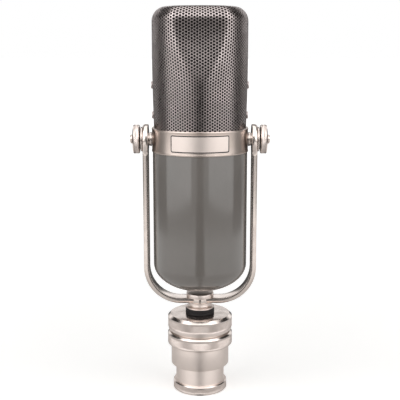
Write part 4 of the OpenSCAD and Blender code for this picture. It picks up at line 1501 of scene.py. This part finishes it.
@dataclass
class HeadGrille:
    """The perforated head: front and rear sheets, top sheet, gauze liner and the four slotted screws.

    Attributes:
        form: the outer skin.
        column: angle between neighbouring columns of holes, in degrees.
        first_row: height of the lowest whole row.
        row_pitch: distance between the holes of a column at the foot.
        row_growth: how much each next distance grows.
        rows: holes in a column.
        hole_r: radius of a hole.
        wall: thickness of the sheet.
        lap: how far the sheets have rolled over where the top sheet begins, in degrees.
        foot_end: height of the sheets' lower hem, inside the band.
        hem_reach: how near to a hem, in rows, a point of the new edge is moved to it.
    """

    form: HeadForm = field(default_factory=HeadForm)
    column: float = 3.0
    first_row: float = 151.2
    row_pitch: float = 1.604
    row_growth: float = 0.0012
    rows: int = 42
    hole_r: float = 0.62
    wall: float = 0.9
    lap: float = 80.0
    foot_end: float = 148.8
    hem_reach: float = 0.55

    def field_of_holes(self, name: str, columns: int, rows: int, keep: Pick) -> Workpiece:
        """Models a flat sheet of round holes, counted in columns and rows from its middle column.

        One cell is a circle whose edge is drawn out to a hexagon. It is copied half a row up into the next
        column, and the pair is repeated over the sheet.

        Args:
            name: the workpiece's name.
            columns: number of columns, an even number.
            rows: number of rows.
            keep: takes the holes' columns and rows and says which cells stay.

        Returns:
            The sheet, with column and row numbers for places.
        """
        rim = np.array([
            (2 / 3, 0.0), (0.5, 0.25), (1 / 3, 0.5), (0.0, 0.5), (-1 / 3, 0.5), (-0.5, 0.25),
            (-2 / 3, 0.0), (-0.5, -0.25), (-1 / 3, -0.5), (0.0, -0.5), (1 / 3, -0.5), (0.5, -0.25),
        ])
        clear_selection()
        bpy.ops.mesh.primitive_circle_add(vertices=len(rim), radius=self.hole_r * MM)
        work = Workpiece(name)
        work.edit()
        spread, halfway = 2, 1.5
        bpy.ops.mesh.extrude_edges_move()
        bpy.ops.transform.resize(value=(spread, spread, 1), center_override=(0, 0, 0))
        flat = work.points()
        outside = np.hypot(flat[:, 0], flat[:, 1]) > self.hole_r * halfway
        spoke = np.rint(np.arctan2(flat[:, 1], flat[:, 0]) / (2 * math.pi) * len(rim)).astype(int) % len(rim)
        flat[outside, :2] = rim[spoke[outside]] * (COLUMN_MM, ROW_MM)
        work.bend_to(flat)
        work.edit()
        bpy.ops.mesh.duplicate_move(TRANSFORM_OT_translate={"value": (COLUMN_MM * MM, ROW_MM / 2 * MM, 0)})
        work.close_up()
        for count, step in ((columns // 2, (2 * COLUMN_MM * MM, 0, 0)), (rows, (0, ROW_MM * MM, 0))):
            work.modify(
                "ARRAY", count=count, use_relative_offset=False, use_constant_offset=True,
                constant_offset_displace=step, use_merge_vertices=True, merge_threshold=SEAM,
            )
        flat = work.points() / (COLUMN_MM, ROW_MM, 1)
        middle = columns // 4 * 2
        flat[:, 0] -= middle
        work.bend_to(flat)
        centres = np.array([flat[list(face.vertices)].mean(axis=0) for face in work.piece.data.polygons])
        work.drop_faces(~keep(self.hubs(centres)))
        return work

    def sheet(self, name: str, turned_round: bool) -> Piece:
        """Models the front or rear sheet, with straight hems round its field of holes.

        Args:
            name: the piece's name.
            turned_round: True for the rear sheet.

        Returns:
            The finished sheet.
        """
        half = round(90 / self.column) - 1
        work = self.field_of_holes(
            name, 2 * half + 2, self.rows, lambda hubs: np.abs(hubs[:, 0]) <= half
        )
        flat = work.points()
        flat[:, 1] -= 1
        low, high = flat[:, 1].min(), flat[:, 1].max()
        work.choose_open_edges(self.on_hole)
        bpy.ops.mesh.extrude_edges_move()
        flat = work.points()
        flat[:, 1] -= 1
        fresh = np.zeros(len(flat), bool)
        work.piece.data.vertices.foreach_get("select", fresh)
        angle = np.radians(flat[:, 0] * self.column)
        arc = self.first_row + self.row_pitch * flat[:, 1] + 0.5 * self.row_growth * flat[:, 1] ** 2
        self.snap_hem(flat, angle, arc, fresh, half + 1, low, high)
        places = self.form.skin(angle, arc)
        if turned_round:
            places[:, :2] *= -1
        work.bend_to(places)
        work.close_up()
        return self.thicken(work)

    def thicken(self, work: Workpiece) -> Piece:
        """Gives a sheet its thickness and hands it over."""
        work.modify("SOLIDIFY", thickness=self.wall * MM, offset=-1.0, use_even_offset=False)
        return work.hand_over(SHEET_NICKEL, "microphone", "grille_nickel", "head_grille", smooth_degrees=40)

    @staticmethod
    def hubs(places: np.ndarray) -> np.ndarray:
        """Finds the nearest hole's middle, in a sheet counted in columns and rows.

        Args:
            places: places counted in columns and rows, where odd columns stand half a row higher.

        Returns:
            The holes' columns and rows, one row each.
        """
        best = np.zeros((len(places), 2))
        nearest = np.full(len(places), np.inf)
        for column in (np.floor(places[:, 0]), np.ceil(places[:, 0])):
            shift = np.where(column % 2 == 0, 0.0, 0.5)
            row = np.rint(places[:, 1] - shift) + shift
            gap = np.hypot((places[:, 0] - column) * COLUMN_MM, (places[:, 1] - row) * ROW_MM)
            closer = gap < nearest
            best[closer] = np.column_stack([column, row])[closer]
            nearest = np.minimum(gap, nearest)
        return best

    def on_hole(self, places: np.ndarray) -> np.ndarray:
        """Tells which points of a counted sheet lie on a hole's edge, within a twentieth of its radius."""
        off = (places[:, :2] - self.hubs(places)) * (COLUMN_MM, ROW_MM)
        return np.hypot(off[:, 0], off[:, 1]) < self.hole_r * 1.05

    def snap_hem(
        self, flat: np.ndarray, angle: np.ndarray, arc: np.ndarray, fresh: np.ndarray, ends: int, low: float,
        high: float,
    ) -> None:
        """Moves the new outer edge to the straight hems at the sides, the foot and the top.

        Args:
            flat: places counted in columns and rows.
            angle: the points' columns in radians, changed in place.
            arc: the points' lengths up the skin, changed in place.
            fresh: which points are on the new edge.
            ends: column of the side hems.
            low: row of the sheet's lowest points.
            high: row of the sheet's highest points.
        """
        to_side = ends - np.abs(flat[:, 0])
        to_foot, to_top = flat[:, 1] - low, high - flat[:, 1]
        side_reach, corner_reach = 0.9, 0.5
        at_side = fresh & (to_side < side_reach)
        at_foot, at_top = fresh & (to_foot < self.hem_reach), fresh & (to_top < self.hem_reach)
        side_only = at_side & ~at_foot & ~at_top
        outermost = at_side & (at_foot | at_top) & (to_side < corner_reach)
        angle[side_only | outermost] = (np.sign(flat[:, 0]) * math.pi / 2)[side_only | outermost]
        arc[at_foot] = self.foot_end
        lap_arc = self.form.arc_at(angle, math.radians(self.lap))
        arc[at_top] = lap_arc[at_top]

    def top_sheet(self) -> Piece:
        """Models the perforated top: the last of the roll, and a gently domed field of holes."""
        quarter = round(90 / self.column)
        turns = np.arange(-quarter, quarter) * math.radians(self.column)
        loops = [
            self.form.loop(turns, self.form.arc_at(turns, math.radians(rolled)))
            for rolled in (self.lap, 85.0, 90.0)
        ]
        work = stack_loops("GrilleTop", loops)
        work.take_in([self.top_field(loops[-1])])
        work.close_up(SEAM)
        if all(face.normal.z < LEVEL for face in work.piece.data.polygons):
            work.turn_over()
        return self.thicken(work)

    def top_field(self, edge: np.ndarray) -> Workpiece:
        """Models the field of holes inside the roll's last loop, and fills the strip between them.

        Args:
            edge: the loop's places.

        Returns:
            The field, with its outer edge on the loop, raised to the crown.
        """
        margin, columns, rows = 1.3, 28, 20
        pitch, centre = np.array((1.41, ROW_MM)), (0, rows // 2)
        starts = edge[:, :2]
        ends = np.roll(starts, -1, axis=0)
        along = (ends - starts) / np.linalg.norm(ends - starts, axis=1)[:, None]

        def well_inside(hubs: np.ndarray) -> np.ndarray:
            """Picks the holes that keep the margin from every side of the loop."""
            spots = (hubs - centre) * pitch
            off = spots[:, None, :] - starts[None, :, :]
            left = along[None, :, 0] * off[:, :, 1] - along[None, :, 1] * off[:, :, 0]
            return (left > margin).all(axis=1)

        work = self.field_of_holes("TopField", columns, rows, well_inside)
        work.take_in([trace("FieldEdge", [Vector((x, y, 0.0)) for x, y in starts / pitch + centre])])
        work.choose_open_edges(self.on_hole, with_lines=True)
        bpy.ops.mesh.fill(use_beauty=True)
        flat = work.points()
        flat[:, :2] = (flat[:, :2] - centre) * pitch
        flat[:, 2] = self.form.crown_z(flat[:, 0], flat[:, 1])
        work.bend_to(flat)
        return work

    def liner(self) -> Piece:
        """Models the gauze behind the sheets, painted near black as the shade inside the head."""
        low, _ = reach("mesh_liner")
        form, thick, head_middle = HeadForm(inset=1.35), 0.35, Vector((0, 0, 0.18))
        quarter, heights, rolls = 30, 28, 8
        turns = np.arange(-quarter, quarter) * (math.pi / 2 / quarter)
        start = form.roll_start(turns)
        levels = [low.z + (start - low.z) * k / heights for k in range(heights + 1)]
        levels += [form.arc_at(turns, math.pi / 2 * k / rolls) for k in range(1, rolls + 1)]
        loops = [form.loop(turns, level) for level in levels]
        for share in (0.66, 0.33):
            inner = loops[len(levels) - 1] * (share, share, 1)
            inner[:, 2] = form.crown_z(inner[:, 0], inner[:, 1])
            loops.append(inner)
        work = stack_loops("GauzeLiner", loops, capped=True)
        work.close_up()
        face = work.piece.data.polygons[0]
        if face.normal.dot(face.center - head_middle) < 0:
            work.turn_over()
        work.modify("SOLIDIFY", thickness=thick * MM, offset=-1.0)
        # The liner's near-black colour is painted shade for the dark inside of the head
        return work.hand_over(SHADE_BLACK_GAUZE, "microphone", "steel_mesh", "mesh_liner")

    def screws(self) -> Piece:
        """Models the four screws that hold the sheets to the rails, each with its slot."""
        low, high = reach("grille_screws")
        head_r, shank_r, head_h, reach_in, clear = 2.0, 1.0, 0.75, 19.0, 0.02
        made: list[Workpiece] = []
        for side in (-1, 1):
            for z in (low.z + head_r, high.z - head_r):
                seat = float(self.form.radii(np.array(z + head_r))[0]) + clear
                near, foot, top = side * reach_in, side * seat, side * (seat + head_h)
                work = Lathe(Spindle.CROSSWISE, z).turn(f"GrilleScrew{len(made)}", [
                    (0.0, near, 0.0), (shank_r, near, 0.2), (shank_r, foot, 0.0), (head_r, foot, 0.0),
                    (head_r, top, 0.35), (0.0, top, 0.0),
                ], steps=48)
                work.cut_slot((top, 0, z), (0.0007, 0.01, 0.0005))
                made.append(work)
        made[0].take_in(made[1:])
        made[0].piece.name = "GrilleScrews"
        return made[0].hand_over(SHEET_NICKEL, "microphone", "bright_nickel", "grille_screws")

    def build(self) -> None:
        """Builds the head."""
        self.sheet("GrilleFront", False)
        self.sheet("GrilleRear", True)
        self.top_sheet()
        self.liner()
        self.screws()


@dataclass
class InnerWorks:
    """The pieces inside, which keep the frame's solids and get their real surfaces.

    Attributes:
        finishes: the nodes that each finish goes on.
    """

    finishes: dict[Finish, tuple[str, ...]] = field(default_factory=lambda: {
        ZINC_STEEL: (
            "stand_nut_clip", "swivel_nut", "chassis_bottom_plate", "chassis_rail_left", "chassis_rail_right",
            "chassis_top_plate", "chassis_screws", "transformer_bracket", "tube_deck", "tube_elements",
            "tube_pins", "capsule_screws",
        ),
        PHENOLIC: (
            "socket_insert", "plug_insert", "tube_socket", "head_base", "capsule_post", "capsule_saddle",
        ),
        GOLD_PLATE: ("socket_contacts", "plug_pins"),
        SATIN_NICKEL: ("swivel_housing",),
        TURNED_BRASS: (
            "swivel_bush", "head_rail_left", "head_rail_right", "capsule_ring", "capsule_backplate",
            "capsule_clamp_ring",
        ),
        LAMINATIONS: ("transformer_core",),
        COPPER_WIRE: ("transformer_winding",),
        TUBE_GLASS: ("tube_glass",),
        BOARD: ("circuit_board",),
        SLEEVE: ("electrolytic_capacitors",),
        RESIN_DIP: ("film_capacitors",),
        RESISTOR_LACQUER: ("resistors",),
        GOLD_FILM: ("capsule_diaphragm",),
    })

    def build(self) -> None:
        """Dresses each kept node."""
        for finish, names in self.finishes.items():
            for name in names:
                node = frame["nodes"][name]
                node.data.materials.clear()
                node.data.materials.append(finish.material())
                log.info("%s: kept, dressed as %s", name, finish.name)


@dataclass
class Studio:
    """The stage: white paper, a tall soft box at each side, white surroundings behind, and the camera.

    Lengths are in metres. Each round says how bright a place looks in a mirror, by degrees from the camera's
    side. Heights in the room are given as the upright part of the direction they are seen in.

    Attributes:
        camera_back: distance from the object to the camera.
        camera_up: height of the camera.
        camera_tilt: its angle from looking straight down, in degrees.
        lens: its focal length in millimetres.
        sensor: width of its sensor in millimetres.
        box_out: distance of the soft boxes to the side.
        box_near: how far back their near ends are.
        box_far: how far back their far ends are.
        box_low: height of their lower ends.
        box_high: height of their upper ends.
        box_watts: power of the left and the right one.
        floor_lift: the paper's glow on the object, and in a mirror.
        shown_lift: its glow before the camera, close to the object and far off.
        shown_span: distances between which that glow changes.
        fill_level: light of the room on the object.
        paper_foot: distances between which the mirrored paper gets as bright as its round says.
        foot_level: its brightness before the first of them, a painted shadow round the foot.
        paper_far: distances between which it dims again.
        far_level: its brightness beyond the second of them.
        strip_from: distances between which the dim strip under the camera begins.
        strip_slope: how much half the strip's width grows with the distance.
        strip_half: half its width at the object.
        strip_soft: where the strip's soft edge ends, as a multiple of half its width.
        strip_level: its brightness, painted shade that only a mirror shows.
        paper_near: distances between which the near round turns into the far round.
        far_round: the paper far off, and the room up to the camera's height.
        near_round: the paper close to the object.
        high_round: the room above the camera.
        upper_round: the room above that.
        upper_span: heights between which the upper round begins.
        ceiling_round: the ceiling.
        ceiling_span: heights between which the ceiling begins.
        front_split: height where the high round begins, before the camera and beside it.
        split_turn: degrees between which that height changes.
        split_soft: height over which the high round begins.
    """

    camera_back: float = 0.459
    camera_up: float = 0.1977
    camera_tilt: float = 79.2
    lens: float = 75.15
    sensor: float = 36.0
    box_out: float = 0.9
    box_near: float = -0.05
    box_far: float = -2.4
    box_low: float = -0.2
    box_high: float = 2.2
    box_watts: tuple[float, float] = (21.0, 19.0)
    floor_lift: tuple[float, float] = (0.2, 0.5)
    shown_lift: tuple[float, float] = (0.42, 0.7)
    shown_span: tuple[float, float] = (0.12, 1.2)
    fill_level: float = 0.4
    paper_foot: tuple[float, float] = (0.1, 0.3)
    foot_level: float = 0.63
    paper_far: tuple[float, float] = (0.45, 0.85)
    far_level: float = 0.55
    strip_from: tuple[float, float] = (0.14, 0.2)
    strip_slope: float = 0.1228
    strip_half: float = 0.0123
    strip_soft: float = 1.25
    strip_level: float = 0.2
    paper_near: tuple[float, float] = (0.45, 0.53)
    far_round: tuple[Point, ...] = (
        (0, 0.14), (6, 0.14), (10, 0.74), (80, 0.74), (88, 0.36), (116, 0.36), (124, 1), (153, 1), (160, 0.1),
        (180, 0.1),
    )
    near_round: tuple[Point, ...] = ((0, 0.3), (6, 0.3), (10, 1), (153, 1), (160, 0.1), (180, 0.1))
    high_round: tuple[Point, ...] = (
        (0, 2.0), (70, 2.0), (90, 1), (98, 0.05), (130, 0.05), (140, 1.3), (180, 1.3)
    )
    upper_round: tuple[Point, ...] = ((0, 2.4), (70, 2.4), (90, 1), (98, 0.05), (130, 0.05), (180, 0.05))
    upper_span: tuple[float, float] = (0.44, 0.5)
    ceiling_round: tuple[Point, ...] = ((0, 1.9), (180, 1.9))
    ceiling_span: tuple[float, float] = (0.72, 0.84)
    front_split: tuple[float, float] = (0.5, 0.14)
    split_turn: tuple[float, float] = (7.0, 12.0)
    split_soft: float = 0.08

    @staticmethod
    def bearing(tree: bpy.types.NodeTree, way: bpy.types.NodeSocket) -> bpy.types.NodeSocket:
        """Gives how far a direction turns away from the camera's side.

        Args:
            tree: the node tree.
            way: a direction, or a place seen from the origin.

        Returns:
            The bearing, from 0 at the camera's side to 1 behind the object.
        """
        part = add_node(tree, "SeparateXYZ", {0: way}).outputs
        side = add_node(tree, "Math", {0: part["X"]}, operation="ABSOLUTE").outputs[0]
        towards = add_node(tree, "Math", {0: part["Y"], 1: -1.0}, operation="MULTIPLY").outputs[0]
        turn = add_node(tree, "Math", {0: side, 1: towards}, operation="ARCTAN2").outputs[0]
        return add_node(tree, "MapRange", {"Value": turn, "From Max": math.pi}).outputs["Result"]

    @staticmethod
    def level_round(
        tree: bpy.types.NodeTree, bearing: bpy.types.NodeSocket, levels: tuple[Point, ...]
    ) -> bpy.types.NodeSocket:
        """Gives the brightness at a bearing.

        Args:
            tree: the node tree.
            bearing: the bearing, from 0 to 1.
            levels: degrees from the camera's side, and brightness.

        Returns:
            The brightness.
        """
        ramp = add_node(tree, "ValToRGB", {"Fac": bearing})
        stops = ramp.color_ramp.elements
        for degrees, _ in levels[1:-1]:
            stops.new(degrees / 180)
        peak = max(level for _, level in levels)
        for stop, (_, level) in zip(stops, levels):
            share = level / peak
            stop.color = (share, share, share, 1.0)
        shares = ramp.outputs["Color"]
        return add_node(tree, "MapRange", {"Value": shares, "To Max": peak}).outputs["Result"]

    @staticmethod
    def rays(tree: bpy.types.NodeTree) -> tuple[bpy.types.NodeSocket, bpy.types.NodeSocket]:
        """Tells the camera's own rays, and the rays that a mirror or glass sends on.

        Args:
            tree: the node tree.

        Returns:
            Two sockets, each 1 for its own kind of ray and 0 for others.
        """
        kinds = add_node(tree, "LightPath").outputs
        sent_on = add_node(
            tree, "Math", {0: kinds["Is Glossy Ray"], 1: kinds["Is Transmission Ray"]},
            operation="MAXIMUM",
        ).outputs[0]
        return kinds["Is Camera Ray"], sent_on

    def floor(self) -> None:
        """Lays the sheet of paper that the foot stands on, with dim places of painted shade that only a
        mirror shows.
        """
        size, back, below, cuts = 12, 3, 0.0001, 4
        clear_selection()
        bpy.ops.mesh.primitive_plane_add(size=1)
        work = Workpiece("StageFloor")
        work.edit()
        bpy.ops.transform.resize(value=(size, size, 1))
        bpy.ops.transform.translate(value=(0, back, -below))
        bpy.ops.mesh.subdivide(number_cuts=cuts)
        bpy.ops.object.mode_set(mode="OBJECT")
        material = FLOOR_PAPER.material()
        tree = material.node_tree
        shader = next(node for node in tree.nodes if node.bl_idname == "ShaderNodeBsdfPrincipled")
        output = next(node for node in tree.nodes if node.bl_idname == "ShaderNodeOutputMaterial")
        from_camera, mirrored = self.rays(tree)
        place = add_node(tree, "TexCoord").outputs["Object"]
        out = add_node(tree, "VectorMath", {0: place}, operation="LENGTH").outputs["Value"]
        # The paper glows before the camera, more so far off, and less for other rays and in mirrors
        seen = add_node(
            tree, "MapRange", dict(zip(RANGE, (out, *self.shown_span, *self.shown_lift)))
        ).outputs["Result"]
        echoed = add_node(tree, "MapRange", {
            "Value": mirrored, "To Min": self.floor_lift[0], "To Max": self.floor_lift[1],
        }).outputs["Result"]
        lift = add_node(
            tree, "MapRange", {"Value": from_camera, "To Min": echoed, "To Max": seen}
        ).outputs["Result"]
        glow = add_node(tree, "Emission", {"Color": (1, 1, 1, 1), "Strength": lift}).outputs[0]
        paper = add_node(tree, "AddShader", {0: shader.outputs[0], 1: glow}).outputs[0]
        # Its brightness in a mirror goes by bearing and distance
        bearing = self.bearing(tree, place)
        rounds = [self.level_round(tree, bearing, levels) for levels in (self.near_round, self.far_round)]
        level = add_node(
            tree, "MapRange", dict(zip(RANGE, (out, *self.paper_near, *rounds)))
        ).outputs["Result"]
        # A dim strip of painted shade, which only a mirror shows, runs from the object towards the camera and
        # widens on the way
        across = add_node(tree, "SeparateXYZ", {0: place}).outputs["X"]
        across = add_node(tree, "Math", {0: across}, operation="ABSOLUTE").outputs[0]
        half = add_node(
            tree, "Math", {0: out, 1: self.strip_slope, 2: self.strip_half}, operation="MULTIPLY_ADD"
        ).outputs[0]
        edge = add_node(tree, "Math", {0: half, 1: self.strip_soft}, operation="MULTIPLY").outputs[0]
        strip = add_node(tree, "MapRange", {
            "Value": across, "From Min": half, "From Max": edge, "To Min": self.strip_level,
        }).outputs["Result"]
        beside = 0.5
        behind = add_node(tree, "Math", {0: bearing, 1: beside}, operation="GREATER_THAN").outputs[0]
        strip = add_node(tree, "Math", {0: strip, 1: behind}, operation="MAXIMUM").outputs[0]
        # In a mirror the paper is dimmed close to the foot, a painted shadow, and dimmed again far off
        for span, near, far in (
            (self.strip_from, 1.0, strip), (self.paper_foot, self.foot_level, 1.0),
            (self.paper_far, 1.0, self.far_level),
        ):
            share = add_node(tree, "MapRange", dict(zip(RANGE, (out, *span, near, far)))).outputs["Result"]
            level = add_node(tree, "Math", {0: level, 1: share}, operation="MULTIPLY").outputs[0]
        dimmed = add_node(
            tree, "MapRange", {"Value": level, "To Min": mirrored, "To Max": 0.0}
        ).outputs["Result"]
        black = add_node(tree, "Emission", {"Color": (0, 0, 0, 1)}).outputs[0]
        both = add_node(tree, "MixShader", {0: dimmed, 1: paper, 2: black}).outputs[0]
        tree.links.new(both, output.inputs["Surface"])
        work.piece.data.materials.append(material)

    def soft_boxes(self) -> None:
        """Hangs one tall soft box at each side, from beside the camera to beside the object."""
        deep, tall = self.box_near - self.box_far, self.box_high - self.box_low
        back, up = (self.box_near + self.box_far) / 2, (self.box_low + self.box_high) / 2
        for side, watts in zip((-1, 1), self.box_watts):
            light = bpy.data.lights.new("SoftBoxLeft" if side < 0 else "SoftBoxRight", "AREA")
            light.shape = "RECTANGLE"
            light.size, light.size_y = deep, tall
            light.energy = watts
            lamp = bpy.data.objects.new(light.name, light)
            lamp.location = (side * self.box_out, back, up)
            lamp.rotation_euler = (math.pi / 2, 0, math.pi / 2 * side)
            bpy.context.scene.collection.objects.link(lamp)

    def surroundings(self) -> None:
        """Makes the room: white behind the object and dim beside it, as reflections show it."""
        world = bpy.data.worlds.new("Room")
        bpy.context.scene.world = world
        world.use_nodes = True
        tree = world.node_tree
        tree.nodes.clear()
        way = add_node(tree, "TexCoord").outputs["Generated"]
        up = add_node(tree, "SeparateXYZ", {0: way}).outputs["Z"]
        bearing = self.bearing(tree, way)
        turns = [degrees / 180 for degrees in self.split_turn]
        split = add_node(
            tree, "MapRange", dict(zip(RANGE, (bearing, *turns, *self.front_split)))
        ).outputs["Result"]
        split_top = add_node(tree, "Math", {0: split, 1: self.split_soft}).outputs[0]
        mirrored = self.level_round(tree, bearing, self.far_round)
        for start, end, levels in (
            (split, split_top, self.high_round), (*self.upper_span, self.upper_round),
            (*self.ceiling_span, self.ceiling_round),
        ):
            above = self.level_round(tree, bearing, levels)
            mirrored = add_node(
                tree, "MapRange", dict(zip(RANGE, (up, start, end, mirrored, above)))
            ).outputs["Result"]
        from_camera, sent_on = self.rays(tree)
        lit = add_node(
            tree, "MapRange", {"Value": sent_on, "To Min": self.fill_level, "To Max": mirrored}
        ).outputs["Result"]
        level = add_node(
            tree, "MapRange", {"Value": from_camera, "To Min": lit, "To Max": 1.0}
        ).outputs["Result"]
        glow = add_node(tree, "Background", {"Color": (1, 1, 1, 1), "Strength": level}).outputs[0]
        add_node(tree, "OutputWorld", {"Surface": glow})

    def camera(self) -> None:
        """Puts the camera where the photograph was taken."""
        data = bpy.data.cameras.new("Camera")
        data.lens, data.sensor_width = self.lens, self.sensor
        camera = bpy.data.objects.new("Camera", data)
        camera.location = (0, -self.camera_back, self.camera_up)
        camera.rotation_euler = (math.radians(self.camera_tilt), 0, 0)
        bpy.context.scene.collection.objects.link(camera)
        bpy.context.scene.camera = camera

    def build(self) -> None:
        """Sets up the whole stage."""
        bpy.context.scene.view_settings.view_transform = "Standard"
        self.camera()
        self.floor()
        self.soft_boxes()
        self.surroundings()


def clear_bench() -> None:
    """Removes the objects of Blender's start-up scene, and keeps the frame."""
    ours = {*frame["nodes"].values(), *frame["bodies"].values()}
    for spare in [thing for thing in bpy.data.objects if thing not in ours]:
        bpy.data.objects.remove(spare, do_unlink=True)


def main() -> None:
    """Builds the microphone in order and sets the stage."""
    logging.basicConfig(level=logging.INFO, format="%(message)s")
    clear_bench()
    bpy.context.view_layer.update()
    for assembly in (
        StandAdapter(), SwivelHead(), Yoke(), TiltClamp(-1), TiltClamp(1), BodyAndBand(), HeadGrille(),
        InnerWorks(), Studio(),
    ):
        assembly.build()
    clear_selection()


if __name__ == "__main__":
    main()
